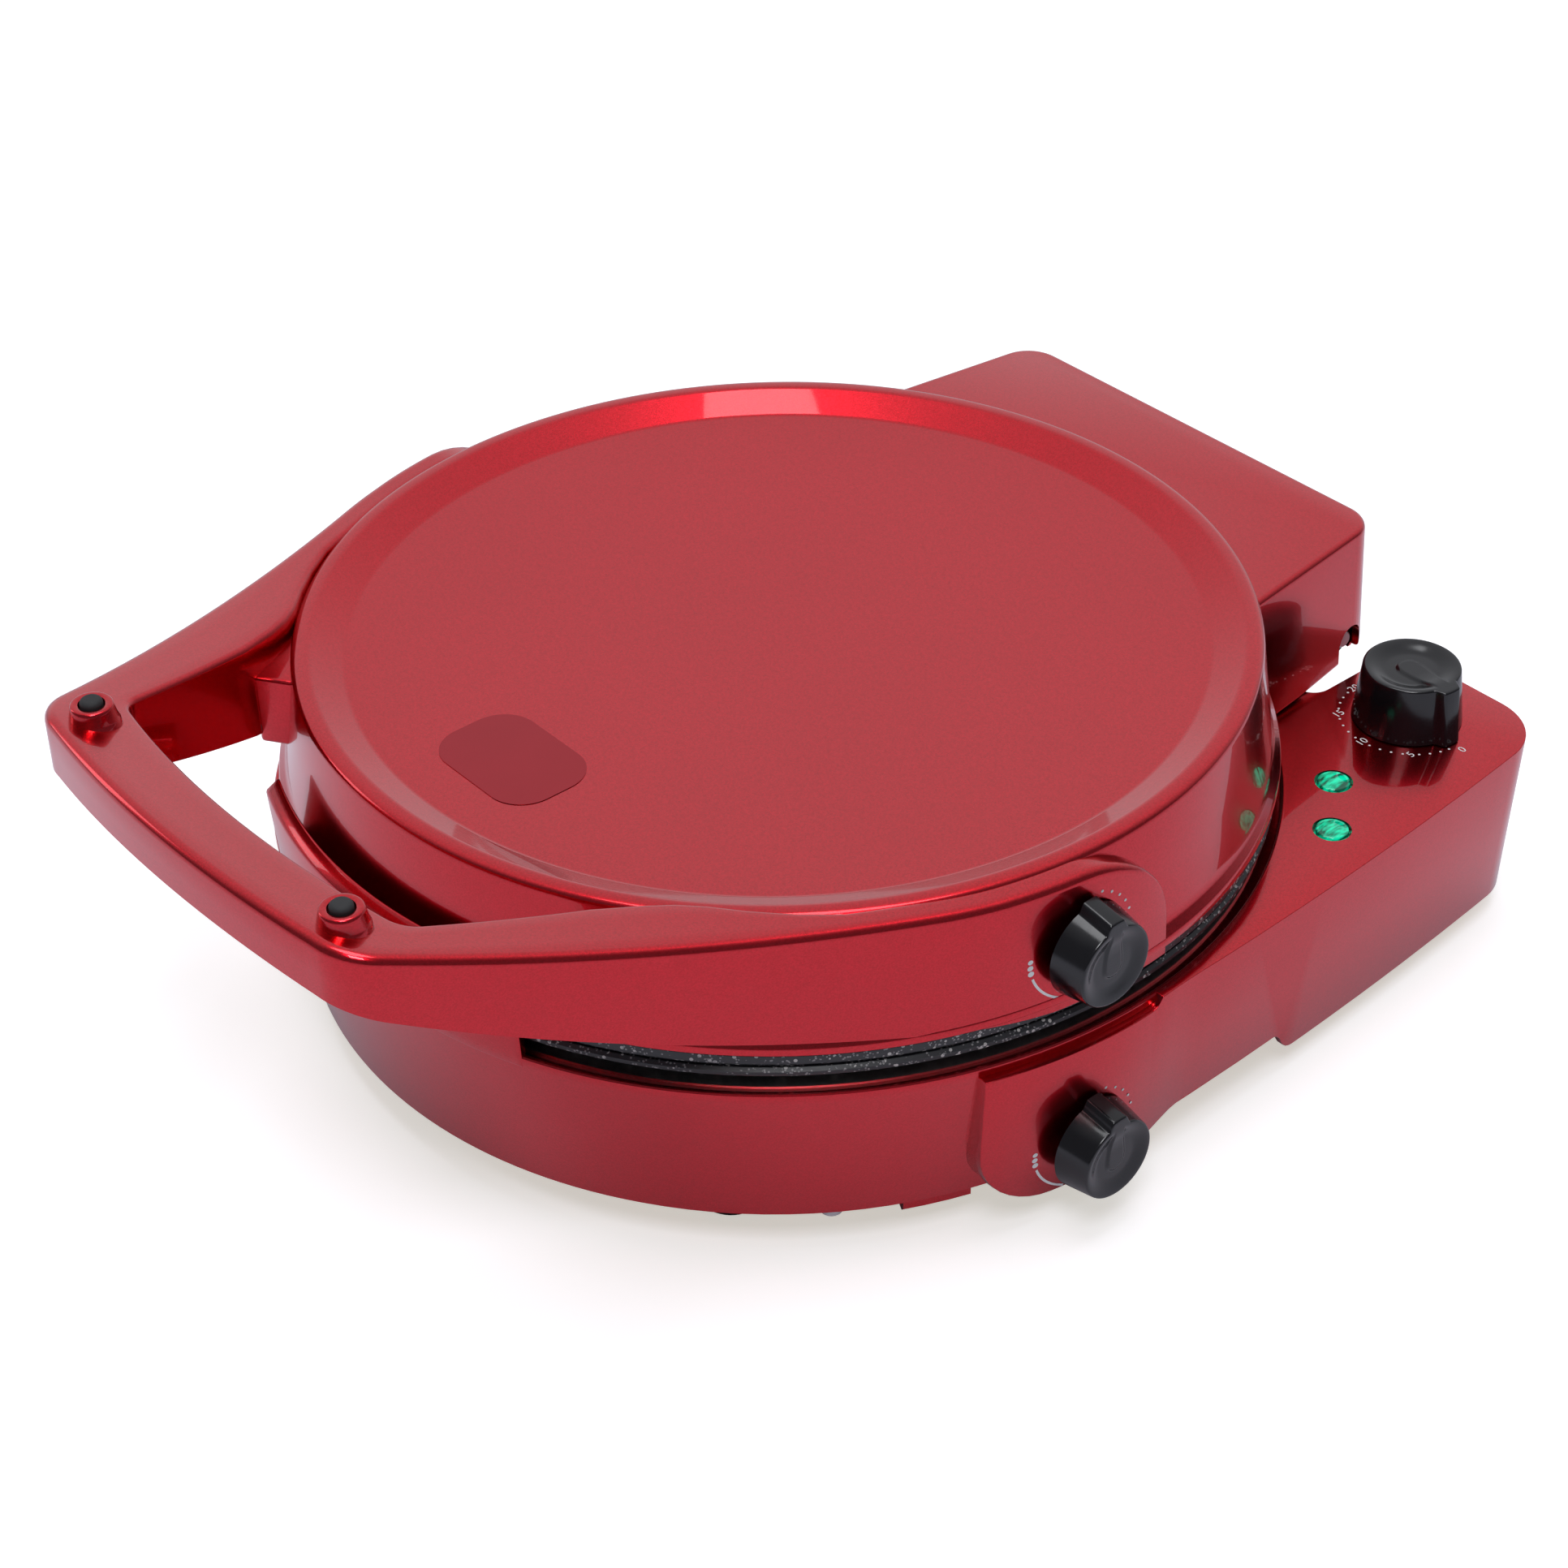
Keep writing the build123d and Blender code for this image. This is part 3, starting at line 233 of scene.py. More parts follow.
def green_lens():
    """Clear green plastic that glows by emission, with painted highlights: bright streaks in its colour and its glow.
    """
    f = Finish("green_lens", Roughness=0.05, Coat_Weight=0.2, Coat_Roughness=0.02)
    along = f.node("ShaderNodeMapping", {"vector_type": "POINT"},
                   {"Vector": f.place(), "Scale": (1.0, 0.28, 1.0), "Rotation": (0, 0, radians(-40))})
    # painted highlights: noise stretched along one way makes bright streaks, which brighten both the base colour and
    # the emitted glow
    highlight_streaks = f.node("ShaderNodeTexNoise", None, {"Vector": along, "Scale": 520.0, "Detail": 2.0})
    painted_highlight = f.ramp(highlight_streaks, 0.38, 0.62)
    f.feed("Base Color", f.mix(painted_highlight, (0.0, 0.10, 0.05, 1), (0.0, 0.62, 0.34, 1)))
    f.feed("Emission Color", f.mix(painted_highlight, (0.0, 0.03, 0.015, 1), (0.0, 0.74, 0.38, 1)))
    f.surface.inputs["Emission Strength"].default_value = 0.5
    return f.material


def white_paint():
    """White printing ink, for the dial marks."""
    f = Finish("white_paint", Roughness=0.45)
    f.feed("Base Color", f.mix(f.noise(400.0), (0.72, 0.72, 0.72, 1), (0.84, 0.84, 0.84, 1)))
    return f.material


def patch_film():
    """Clear-coated dark film on the lid, bare."""
    f = Finish("patch_film", Roughness=0.25, Metallic=0.9, Coat_Weight=0.4, Coat_Roughness=0.08)
    f.feed("Base Color", f.mix(f.noise(60.0), (0.37, 0.009, 0.018, 1), (0.41, 0.012, 0.022, 1)))
    return f.material


RED = red_lacquer()
KNOB = gloss_black()
COVER = satin_black()
PLATE = speckled_coating()
SHEET = steel("rolled_sheet", (0.62, 0.62, 0.60, 1), 0.34)
SHEATH = steel("heater_sheath", (0.20, 0.19, 0.18, 1), 0.55)
ZINC = steel("zinc_plate", (0.62, 0.62, 0.63, 1), 0.30, 2.0)
RUBBER = rubber()
CERAMIC = ceramic()
LENS = green_lens()
WHITE = white_paint()
FILM = patch_film()
GLASS = Finish("lamp_glass", Roughness=0.1, Alpha=0.5, Base_Color=(0.9, 0.85, 0.75, 1)).material

finish_of = {
    "base_housing": RED, "lid_housing": RED, "base_bottom_cover": RED, "handle_lower_cover": COVER,
    "lid_hinge_frame": COVER, "hinge_bracket_left": COVER, "hinge_bracket_right": COVER, "timer_body": COVER,
    "cord_gland": COVER, "base_screws": ZINC, "hinge_bracket_screws": ZINC, "hinge_pin_left": ZINC,
    "hinge_pin_right": ZINC, "lower_control_shaft": ZINC, "upper_control_shaft": ZINC, "timer_shaft": ZINC,
    "rubber_feet": RUBBER, "handle_feet": RUBBER, "lower_plate": PLATE, "upper_plate": PLATE,
    "lower_reflector_pan": SHEET, "upper_reflector_pan": SHEET, "lower_element_clips": SHEET,
    "upper_element_clips": SHEET, "lower_heating_element": SHEATH, "upper_heating_element": SHEATH,
    "lower_thermostat": CERAMIC, "upper_thermostat": CERAMIC, "terminal_block": CERAMIC, "thermal_fuse": CERAMIC,
    "lower_temperature_knob": KNOB, "upper_temperature_knob": KNOB, "timer_knob": KNOB,
    "indicator_lens_rear": LENS, "indicator_lens_front": LENS, "indicator_lamps": GLASS, "lid_patch": FILM,
}
for name, material in finish_of.items():
    nodes[name].data.materials.clear()
    nodes[name].data.materials.append(material)

ROUND_STEPS = 192
WELD = 1e-6                             # metres within which corners of one surface are merged


def finish_piece(piece, name, material, body, smooth=32.0):
    """Names a modelled piece, gives it its finish and lets it ride on a body."""
    piece.name = name
    piece.data.materials.clear()
    piece.data.materials.append(material)
    bpy.ops.object.select_all(action="DESELECT")
    piece.select_set(True)
    bpy.context.view_layer.objects.active = piece
    bpy.ops.object.transform_apply(location=True, rotation=True, scale=True)
    bpy.ops.object.shade_smooth_by_angle(angle=radians(smooth))
    piece.select_set(False)
    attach(piece, body)


def edit(piece):
    """Opens one piece in edit mode with all of it selected."""
    bpy.ops.object.select_all(action="DESELECT")
    piece.select_set(True)
    bpy.context.view_layer.objects.active = piece
    bpy.ops.object.mode_set(mode="EDIT")
    bpy.ops.mesh.select_all(action="SELECT")


def close_edit(piece):
    """Leaves edit mode with every face of a closed piece turned outwards."""
    bpy.ops.mesh.select_all(action="SELECT")
    bpy.ops.mesh.normals_make_consistent(inside=False)
    bpy.ops.object.mode_set(mode="OBJECT")
    mesh = piece.data
    mesh.calc_loop_triangles()
    spots = [[mesh.vertices[k].co for k in triangle.vertices] for triangle in mesh.loop_triangles]
    if sum(a.dot(b.cross(c)) for a, b, c in spots) < 0:
        mesh.flip_normals()


def loop_of(points):
    """A closed wire through points in metres: a circle whose corners are moved into place."""
    bpy.ops.object.select_all(action="DESELECT")
    bpy.ops.mesh.primitive_circle_add(vertices=len(points), radius=0.01, fill_type="NOTHING")
    wire = bpy.context.object
    for corner, point in zip(wire.data.vertices, points):
        corner.co = point
    return wire


def turned(points, start=0.0, sweep=360.0, steps=ROUND_STEPS, middle=(0, 0)):
    """A closed (radius, height) outline in mm spun about an upright axis, in degrees from +X."""
    heading = radians(start)
    x, y = middle
    piece = loop_of([at(x + r * cos(heading), y + r * sin(heading), z) for r, z in points])
    edit(piece)
    if sweep < 360.0:
        bpy.ops.mesh.edge_face_add()
    bpy.ops.mesh.spin(steps=steps, angle=radians(-sweep), center=at(x, y, 0), axis=(0, 0, 1), use_auto_merge=True)
    bpy.ops.mesh.select_all(action="SELECT")
    bpy.ops.mesh.remove_doubles(threshold=WELD)
    bpy.ops.mesh.delete_loose()
    close_edit(piece)
    return piece


def extruded(points, travel):
    """A prism on a closed wire through points in metres, drawn out by a travel in mm."""
    piece = loop_of(points)
    edit(piece)
    bpy.ops.mesh.edge_face_add()
    bpy.ops.mesh.extrude_region_move(TRANSFORM_OT_translate={"value": [step * MM for step in travel]})
    close_edit(piece)
    return piece


def prism(outline, low, high, spread=0.0):
    """An upright prism on an outline in mm; the low end stands out by a spread, or in by a negative one."""
    piece = extruded([at(x, y, high) for x, y in outline], (0, 0, low - high))
    if spread:
        wide = offset_outline(outline, -spread)
        for corner in piece.data.vertices:
            if corner.co.z < (low + 0.01) * MM:
                here = (corner.co / MM) - SHIFT
                nearest = min(range(len(outline)),
                              key=lambda k: hypot(outline[k][0] - here.x, outline[k][1] - here.y))
                corner.co = at(*wide[nearest], low)
    return piece


def side_prism(outline, half_width=240.0):
    """A prism along X on a (y, height) outline in mm."""
    return extruded([at(-half_width, y, z) for y, z in outline], (2 * half_width, 0, 0))


def carve(piece, tool, operation="DIFFERENCE"):
    """Cuts a piece with another, or trims it to what they share; the tool is used up."""
    change = piece.modifiers.new("carve", "BOOLEAN")
    change.operation, change.object, change.solver = operation, tool, "MANIFOLD"
    bpy.ops.object.select_all(action="DESELECT")
    bpy.context.view_layer.objects.active = piece
    bpy.ops.object.modifier_apply(modifier=change.name)
    bpy.data.objects.remove(tool)


def bore(piece, x, y, z, radius, depth, axis="Z"):
    """Cuts a round hole along Z or X whose middle is a point in mm."""
    bpy.ops.object.select_all(action="DESELECT")
    bpy.ops.mesh.primitive_cylinder_add(vertices=64, radius=radius * MM, depth=depth * MM, location=at(x, y, z),
                                        rotation=(0, radians(90) if axis == "X" else 0, 0))
    carve(piece, bpy.context.object)


def round_edges(piece, width, segments=3, angle=36.0):
    """Rounds every edge sharper than an angle by a width in mm."""
    edit(piece)
    bpy.ops.mesh.remove_doubles(threshold=2 * WELD)
    bpy.ops.mesh.dissolve_limited(angle_limit=radians(0.4))
    close_edit(piece)
    change = piece.modifiers.new("round", "BEVEL")
    change.width, change.segments = width * MM, segments
    change.limit_method, change.angle_limit = "ANGLE", radians(angle)
    bpy.context.view_layer.objects.active = piece
    bpy.ops.object.modifier_apply(modifier=change.name)
    return piece


def joined(pieces):
    """Several shells of one moulding as one object."""
    bpy.ops.object.select_all(action="DESELECT")
    for piece in pieces:
        piece.select_set(True)
    bpy.context.view_layer.objects.active = pieces[0]
    bpy.ops.object.join()
    return pieces[0]


def arc(centre, radius, first, last, count):
    """Points on a circle in mm, between two angles in degrees."""
    return [(centre[0] + radius * cos(radians(first + (last - first) * k / count)),
             centre[1] + radius * sin(radians(first + (last - first) * k / count))) for k in range(count + 1)]


def circle_through(first, middle, last):
    """The middle and the radius of the circle through three points."""
    (ax, ay), (bx, by), (cx, cy) = first, middle, last
    d = 2 * (ax * (by - cy) + bx * (cy - ay) + cx * (ay - by))
    a, b, c = ax * ax + ay * ay, bx * bx + by * by, cx * cx + cy * cy
    x = (a * (by - cy) + b * (cy - ay) + c * (ay - by)) / d
    y = (a * (cx - bx) + b * (ax - cx) + c * (bx - ax)) / d
    return x, y, hypot(ax - x, ay - y)


def short_way(start, end):
    """An end angle in degrees, turned by whole turns until it lies within half a turn of the start."""
    while end - start > 180:
        end -= 360
    while end - start < -180:
        end += 360
    return end


def through(first, middle, last, count):
    """Points on the arc through three points, which is less than half a circle."""
    x, y, radius = circle_through(first, middle, last)
    start, end = degrees(atan2(first[1] - y, first[0] - x)), degrees(atan2(last[1] - y, last[0] - x))
    return arc((x, y), radius, start, short_way(start, end), count)


def corner_arc(before, corner, after, radius, steps=8):
    """Points of the round that takes a corner off, and how far along each side it starts."""
    here = Vector(corner)
    back, forth = (Vector(before) - here).normalized(), (Vector(after) - here).normalized()
    half = back.angle(forth) / 2
    reach = radius / tan(half)
    centre = here + (back + forth).normalized() * (radius / sin(half))
    first, last = here + back * reach - centre, here + forth * reach - centre
    start, end = degrees(atan2(first.y, first.x)), degrees(atan2(last.y, last.x))
    return arc(centre, radius, start, short_way(start, end), steps), reach


def softened(outline, corners, steps=8):
    """An outline whose corners, given as {number: radius}, are swept round in plan."""
    result = []
    for k, point in enumerate(outline):
        if k in corners:
            result += corner_arc(outline[k - 1], point, outline[(k + 1) % len(outline)], corners[k], steps)[0]
        else:
            result.append(point)
    return result


def offset_outline(outline, inset):
    """An anticlockwise outline drawn in by an inset; a negative inset makes it larger."""
    count, result = len(outline), []
    for k in range(count):
        here = Vector(outline[k])
        into = (here - Vector(outline[k - 1])).normalized()
        away = (Vector(outline[(k + 1) % count]) - here).normalized()
        first, second = Vector((-into.y, into.x)), Vector((-away.y, away.x))
        bisector = (first + second).normalized()
        result.append(tuple(here + bisector * (inset / max(0.3, bisector.dot(first)))))
    return result


def ease(value, low, high):
    """A smooth step from 0 at low to 1 at high."""
    share = min(1.0, max(0.0, (value - low) / (high - low)))
    return share * share * (3 - 2 * share)


# Lid: the round cap
cap_profile = [(0.0, 121.5), (137.9, 121.5), (138.6, 121.6), (139.4, 121.9), (148.6, 126.6), (149.4, 126.9),
               (150.2, 127.0), (152.6, 127.0), (153.6, 126.8), (154.4, 126.3), (154.9, 125.6), (155.15, 124.6),
               (157.6, 106.0), (159.8, 90.2), (160.2, 88.2), (161.0, 86.6), (162.4, 85.2), (162.85, 84.4),
               (163.0, 83.4), (163.0, 82.3), (162.8, 82.0), (162.3, 82.0), (162.3, 83.3), (160.5, 85.0),
               (157.5, 89.5), (152.5, 124.5), (139.5, 119.0), (0.0, 119.0)]
cap = turned(cap_profile)

# Lid: the arms and the loop handle, one sheet swept along matching outer and inner plan lines
LEVEL_Y = -48.0                         # behind it the arms' top is level
END_ROUND_Y, END_ROUND = -21.3, 35.0    # the round that ends the arms: its middle and its radius
FOOT_LEVEL_Y, FOOT_HEIGHT = -30.0, 79.3  # behind it the arms' foot is level
ARM_OUTER_EDGE, ARM_INNER_EDGE = 2.8, 2.0
ARM_WALL = 2.2


def circle_height(first, middle, last):
    """The height of the arc through three (y, height) points, as a function of y, with its slope's normal."""
    circle_y, circle_z, radius = circle_through(first, middle, last)
    side = 1 if first[1] > circle_z else -1

    def height(y):
        z = circle_z + side * sqrt(radius ** 2 - (y - circle_y) ** 2)
        return z, side * (Vector((0, y - circle_y, z - circle_z))).normalized()
    return height


arm_crest = circle_height((LEVEL_Y, CAP_TOP_HEIGHT), (-131, 133.2), (-240, 160.0))
arm_foot = circle_height((-240, 144.0), (-132, 98.2), (FOOT_LEVEL_Y, FOOT_HEIGHT))


def even(points, count):
    """A plan line resampled to count + 1 points at even distances."""
    lengths = [0.0]
    for first, second in zip(points, points[1:]):
        lengths.append(lengths[-1] + hypot(second[0] - first[0], second[1] - first[1]))
    result, k = [], 0
    for n in range(count + 1):
        goal = lengths[-1] * n / count
        while k < len(points) - 2 and lengths[k + 1] < goal:
            k += 1
        share = (goal - lengths[k]) / max(1e-9, lengths[k + 1] - lengths[k])
        result.append(tuple(Vector(points[k]).lerp(Vector(points[k + 1]), share)))
    return result


def arm_stations():
    """Matching points of the arm's outer and inner plan lines, from the middle of the handle to the rear end."""
    # the arm's outer line touches the lid's round, and meets the handle's bowed front at a corner
    lean, front, bow = radians(ARM_TURN), -228.0, 383.0
    turn_x, turn_y = ARM_RADIUS * cos(lean), -ARM_RADIUS * sin(lean)
    corner_x = turn_x
    for _ in range(30):
        corner_y = front + bow - sqrt(bow ** 2 - corner_x ** 2)
        corner_x = turn_x - tan(lean) * (turn_y - corner_y)
    # across the handle, then round its corner
    inner_line = [(87.5, -143.5), (93.6, -129.8), (98.3, -121.6), (104.0, -114.6), (112.6, -106.3), (121.6, -96.2),
                  (129.6, -85.2), (139.8, -62.2)]
    nose = arc((0, front + bow), bow, -90, -90 + degrees(asin(corner_x / bow)), 30)
    grip = through((-71.5, -195.0), (0, -203.0), (71.5, -195.0), 60)[30:]
    outer_corner, reach = corner_arc(nose[-2], nose[-1], (turn_x, turn_y), 20.0, 15)
    nose = [point for point in nose if (Vector(point) - Vector(nose[-1])).length > reach] + [outer_corner[0]]
    inner_corner, reach = corner_arc(grip[-2], grip[-1], inner_line[0], 9.0, 15)
    grip = [point for point in grip if (Vector(point) - Vector(grip[-1])).length > reach] + [inner_corner[0]]
    pairs = list(zip(even(nose, 22), even(grip, 22)))
    pairs += list(zip(outer_corner, inner_corner))[1:]
    # along the arm, whose inner line follows the cap's wall from the web on
    ahead = Vector((sin(lean), cos(lean)))
    outer_line = [(turn_x + ahead.x * way, turn_y + ahead.y * way)
                  for way in (-95.5, -76.0, -66.0, -57.0, -45.0, -32.0, -19.0, 0.0)]
    pairs += list(zip(even([outer_corner[-1], outer_line[0]], 6), even([inner_corner[-1], inner_line[0]], 6)))[1:]
    for k, count in enumerate((3, 2, 2, 2, 2, 2, 4)):
        pairs += list(zip(even(outer_line[k:k + 2], count), even(inner_line[k:k + 2], count)))[1:]
    # beside the lid, then down the round at the end
    beside_lid = 16.47
    for k in range(1, 16):
        angle = radians(-ARM_TURN + beside_lid * k / 15)
        pairs.append(tuple((radius * cos(angle), radius * sin(angle)) for radius in (ARM_RADIUS, ARM_INNER_RADIUS)))
    for k in range(1, 13):
        y = END_ROUND_Y + END_ROUND * sin(radians(90.0 * k / 12))
        pairs.append(tuple((sqrt(radius ** 2 - y * y), y) for radius in (ARM_RADIUS, ARM_INNER_RADIUS)))
    return pairs


def crest_at(y):
    """The arms' top at a y, with the surface's normal: an arc, level at the lid, then a large round at the end."""
    if y < LEVEL_Y:
        return arm_crest(y)
    if y <= END_ROUND_Y:
        return CAP_TOP_HEIGHT, Vector((0, 0, 1))
    drop = sqrt(max(0.0, END_ROUND ** 2 - (y - END_ROUND_Y) ** 2))
    return CAP_TOP_HEIGHT - END_ROUND + drop, Vector((0, y - END_ROUND_Y, drop + 0.001)).normalized()


def corner_round(spot, wall_side, top_side, radius, steps=5):
    """Points of a round between a wall and the top, from the wall's side to the top's."""
    centre = spot - (wall_side + top_side) * (radius / (1 + wall_side.dot(top_side)))
    return [centre + wall_side.slerp(top_side, k / steps) * radius for k in range(steps + 1)]


def arm_section(outer, inner, outer_side, inner_side):
    """One ring of points round the arm, from the foot of its inner wall over the top to the outer foot."""
    ring = []
    for (x, y), side, radius in ((inner, inner_side, ARM_INNER_EDGE), (outer, outer_side, ARM_OUTER_EDGE)):
        height, normal = crest_at(y)
        foot = arm_foot(y)[0] if y < FOOT_LEVEL_Y else FOOT_HEIGHT
        radius *= 1 - 0.85 * ease(y, -6.0, 11.0)
        rounded = corner_round(Vector((x, y, height)), Vector((side[0], side[1], 0.0)), normal, radius)
        ring.append([Vector((x, y, foot)), Vector((x, y, foot + (rounded[0].z - foot) * 0.5))] + rounded)
    first, last = ring[0][-1], ring[1][-1]
    first_rise, last_rise = first.z - crest_at(first.y)[0], last.z - crest_at(last.y)[0]
    top = []
    for share in (0.25, 0.5, 0.75):
        spot = first.lerp(last, share)
        rise = first_rise + (last_rise - first_rise) * share
        top.append(Vector((spot.x, spot.y, crest_at(spot.y)[0] + rise)))
    return ring[0] + top + ring[1][::-1]


def plan_normals(points, hand):
    """The sideways direction at each point of a plan line, to its left for hand 1 and to its right for -1."""
    result = []
    for k in range(len(points)):
        way = Vector(points[min(k + 1, len(points) - 1)]) - Vector(points[max(k - 1, 0)])
        result.append(Vector((-way.y, way.x)).normalized() * hand)
    return result


def sheet_of(rows):
    """A sheet whose corners are rows of points in mm: a grid with its corners moved into place."""
    bpy.ops.object.select_all(action="DESELECT")
    bpy.ops.mesh.primitive_grid_add(x_subdivisions=len(rows[0]) - 1, y_subdivisions=len(rows) - 1, size=0.1)
    sheet = bpy.context.object
    for corner, point in zip(sheet.data.vertices, (point for row in rows for point in row)):
        corner.co = at(*point)
    return sheet


stations = arm_stations()
outer_sides = plan_normals([outer for outer, inner in stations], -1)
inner_sides = plan_normals([inner for outer, inner in stations], 1)
rows = [arm_section(outer, inner, outer_side, inner_side)
        for (outer, inner), outer_side, inner_side in zip(stations, outer_sides, inner_sides)]
mirrored = [[Vector((-point.x, point.y, point.z)) for point in row] for row in rows[1:]]
arms = sheet_of(list(reversed(mirrored)) + rows)
handle_top = min(arms.data.polygons, key=lambda face: abs(face.center.x - SHIFT.x * MM) - face.center.z)
if handle_top.normal.z < 0:
    arms.data.flip_normals()
thicken = arms.modifiers.new("wall", "SOLIDIFY")
thicken.thickness, thicken.offset, thicken.use_even_offset = ARM_WALL * MM, -1.0, False
bpy.context.view_layer.objects.active = arms
bpy.ops.object.modifier_apply(modifier=thicken.name)
bore(arms, 160.0, CONTROL_Y, UPPER_CONTROL_HEIGHT, SHAFT_HOLE_RADIUS, 16.0, "X")

# Lid: the webs between the arms and the cap, and the feet's bosses on the handle
web_plan = [(79.0, -134.5), (89.4, -141.5), (95.1, -130.5), (105.0, -115.7), (113.6, -107.4), (122.8, -97.1),
            (130.9, -86.0), (128.0, -82.0), (120.0, -92.5), (107.0, -107.0), (92.0, -121.0), (76.0, -130.5)]
webs = [round_edges(prism(plan, 97.5, 122.5), 1.4, 3)
        for plan in (web_plan, [(-x, y) for x, y in reversed(web_plan)])]
boss_profile = [(0.0, 147.0), (8.6, 147.0), (7.9, 150.6), (7.6, 151.2), (7.3, 152.0), (6.6, 155.2), (6.4, 156.0),
                (6.1, 156.3), (5.7, 156.4), (4.5, 156.4), (4.1, 156.2), (4.0, 155.8), (4.0, 152.4), (0.0, 152.4)]
bosses = [turned(boss_profile, steps=48, middle=(x, HANDLE_FOOT_Y)) for x in (HANDLE_FOOT_X, -HANDLE_FOOT_X)]

# Lid: the rear block, hollow, with a notch along its lower edge for the hinge
BLOCK_TOP_HEIGHT, BLOCK_FOOT_HEIGHT = 121.5, 71.2
BLOCK_LEAN = tan(radians(2.6))          # mm that its walls stand out per mm towards the table
HUB_CLEARANCE = 6.6                     # the radius cut out round the hinge's hubs
block_plan = [(-95.24, 100.0), (95.24, 100.0), (83.1, 194.1), (-83.1, 194.1)]
block_plan = softened(block_plan, {2: 13.0, 3: 13.0}, 12)
block = prism(block_plan, BLOCK_FOOT_HEIGHT, BLOCK_TOP_HEIGHT, BLOCK_LEAN * (BLOCK_TOP_HEIGHT - BLOCK_FOOT_HEIGHT))
carve(block, side_prism([(90, 130), (215, 130), (215, 79.9), (196.6, 79.9), (187.6, 73.3),
                         (153.0, BLOCK_FOOT_HEIGHT), (90, BLOCK_FOOT_HEIGHT)]), "INTERSECT")
round_edges(block, 1.8, 4)
carve(block, side_prism([(80, 140), (80, 60), (60, 60), (60, 140)]))
hollow_top = BLOCK_TOP_HEIGHT - WALL
hollow_foot = BLOCK_FOOT_HEIGHT - 10.0
hollow = prism(offset_outline(block_plan, WALL), hollow_foot, hollow_top, BLOCK_LEAN * (hollow_top - hollow_foot))
carve(hollow, side_prism([(90, 130), (215, 130), (215, 82.4), (194.1, 81.9), (186.35, 73.3), (186.35, 50),
                          (90, 50)]), "INTERSECT")
carve(block, hollow)
# its front follows the middle of the cap's wall
cap_core = [(0, 60), (157.6, 60), (157.6, 88.0), (158.4, 90.5), (153.8, 124.0), (153.8, 140), (0, 140)]
carve(block, turned(cap_core))
bore(block, 0.0, HINGE_Y, HINGE_HEIGHT, HUB_CLEARANCE, 240.0, "X")
for x in (-86.0, 86.0):
    bpy.ops.object.select_all(action="DESELECT")
    bpy.ops.mesh.primitive_cube_add(size=MM, location=at(x, HINGE_Y, HINGE_HEIGHT - 8.0),
                                    scale=(8.0, 2 * HUB_CLEARANCE, 16.0))
    carve(block, bpy.context.object)

lid_shell = joined([cap, arms, block] + webs + bosses)
finish_piece(lid_shell, "lid_shell", RED, "lid")
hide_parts("lid_housing")

# Base: the round pot, open at the top, with its rim and ledge
pot_profile = [(159.4, 16.8), (166.0, 66.4), (166.35, 68.8), (166.3, 69.6), (165.9, 70.1), (165.2, RIM_HEIGHT),
               (164.7, 70.15), (164.3, 69.8), (164.1, 69.2), (164.0, 67.6), (163.8, 67.3), (163.4, 67.2),
               (152.9, 67.2), (152.6, 67.0), (152.5, 66.6), (152.5, 64.8), (161.0, 64.8), (163.3, 64.0),
               (157.0, 16.8)]
pot = turned(pot_profile)

# Base: the console and shelf with the knob's boss, whose walls lean in towards the table
CONSOLE_REAR_X, CONSOLE_REAR_Y, CONSOLE_INNER_X = 156.0, 202.6, 92.0
SHELF_REAR_Y, SHELF_LEFT_X = 158.2, -88.0
CONSOLE_SIDE = circle_through((168.2, 0.0), (165.9, 90.0), (CONSOLE_REAR_X, CONSOLE_REAR_Y))
TRAY_FOOT = 9.4


def wall_arc(y):
    """The console's side wall in plan: x at a y on its arc."""
    circle_x, circle_y, radius = CONSOLE_SIDE
    return circle_x + sqrt(radius ** 2 - (y - circle_y) ** 2)


def flank(y):
    """The right wall in plan: the boss's round blended into the console's arc."""
    share = ease(y, -14.0, 34.0)
    boss = sqrt(BOSS_RIM_RADIUS ** 2 - min(y, 60.0) ** 2)
    return boss * (1 - share) + wall_arc(max(y, -20.0)) * share


outer_rear, inner_rear = (CONSOLE_REAR_X, CONSOLE_REAR_Y), (CONSOLE_INNER_X, CONSOLE_REAR_Y)
inner_front, shelf_rear = (CONSOLE_INNER_X, SHELF_REAR_Y), (SHELF_LEFT_X, SHELF_REAR_Y)
console_plan = [(flank(y), y) for y in range(-66, 176, 4)]
console_plan += corner_arc((wall_arc(180.0), 180.0), outer_rear, inner_rear, 22.0, 14)[0]
console_plan += corner_arc(outer_rear, inner_rear, inner_front, 7.0)[0]
console_plan += corner_arc(inner_rear, inner_front, shelf_rear, 7.0)[0]
console_plan += [shelf_rear, (SHELF_LEFT_X, 6.0), (110.0, 6.0), (110.0, -66.0)]
console = prism(console_plan, 0.0, RIM_HEIGHT, -CONSOLE_LEAN * RIM_HEIGHT)
# its foot from the side: the boss's round, a rise to the console's foot, and the step down to the tray
foot_line = [(-57.0, 90.0), (-57.0, 36.6)] + arc((-32.0, 36.6), 25.0, 189, 270, 9)
foot_line += [(-10.0, 11.6), (-4.0, 11.8), (1.0, 12.5), (6.0, 13.9), (11.0, 15.9), (16.0, 17.7), (21.0, 18.6),
              (27.0, 18.8), (63.0, 18.8), (65.2, 18.5), (67.0, 17.6), (68.4, 16.1), (69.6, 13.9), (70.9, 11.8),
              (72.4, 10.4), (74.2, 9.6), (76.0, TRAY_FOOT), (225.0, TRAY_FOOT), (225.0, 90.0)]
carve(console, side_prism(foot_line), "INTERSECT")
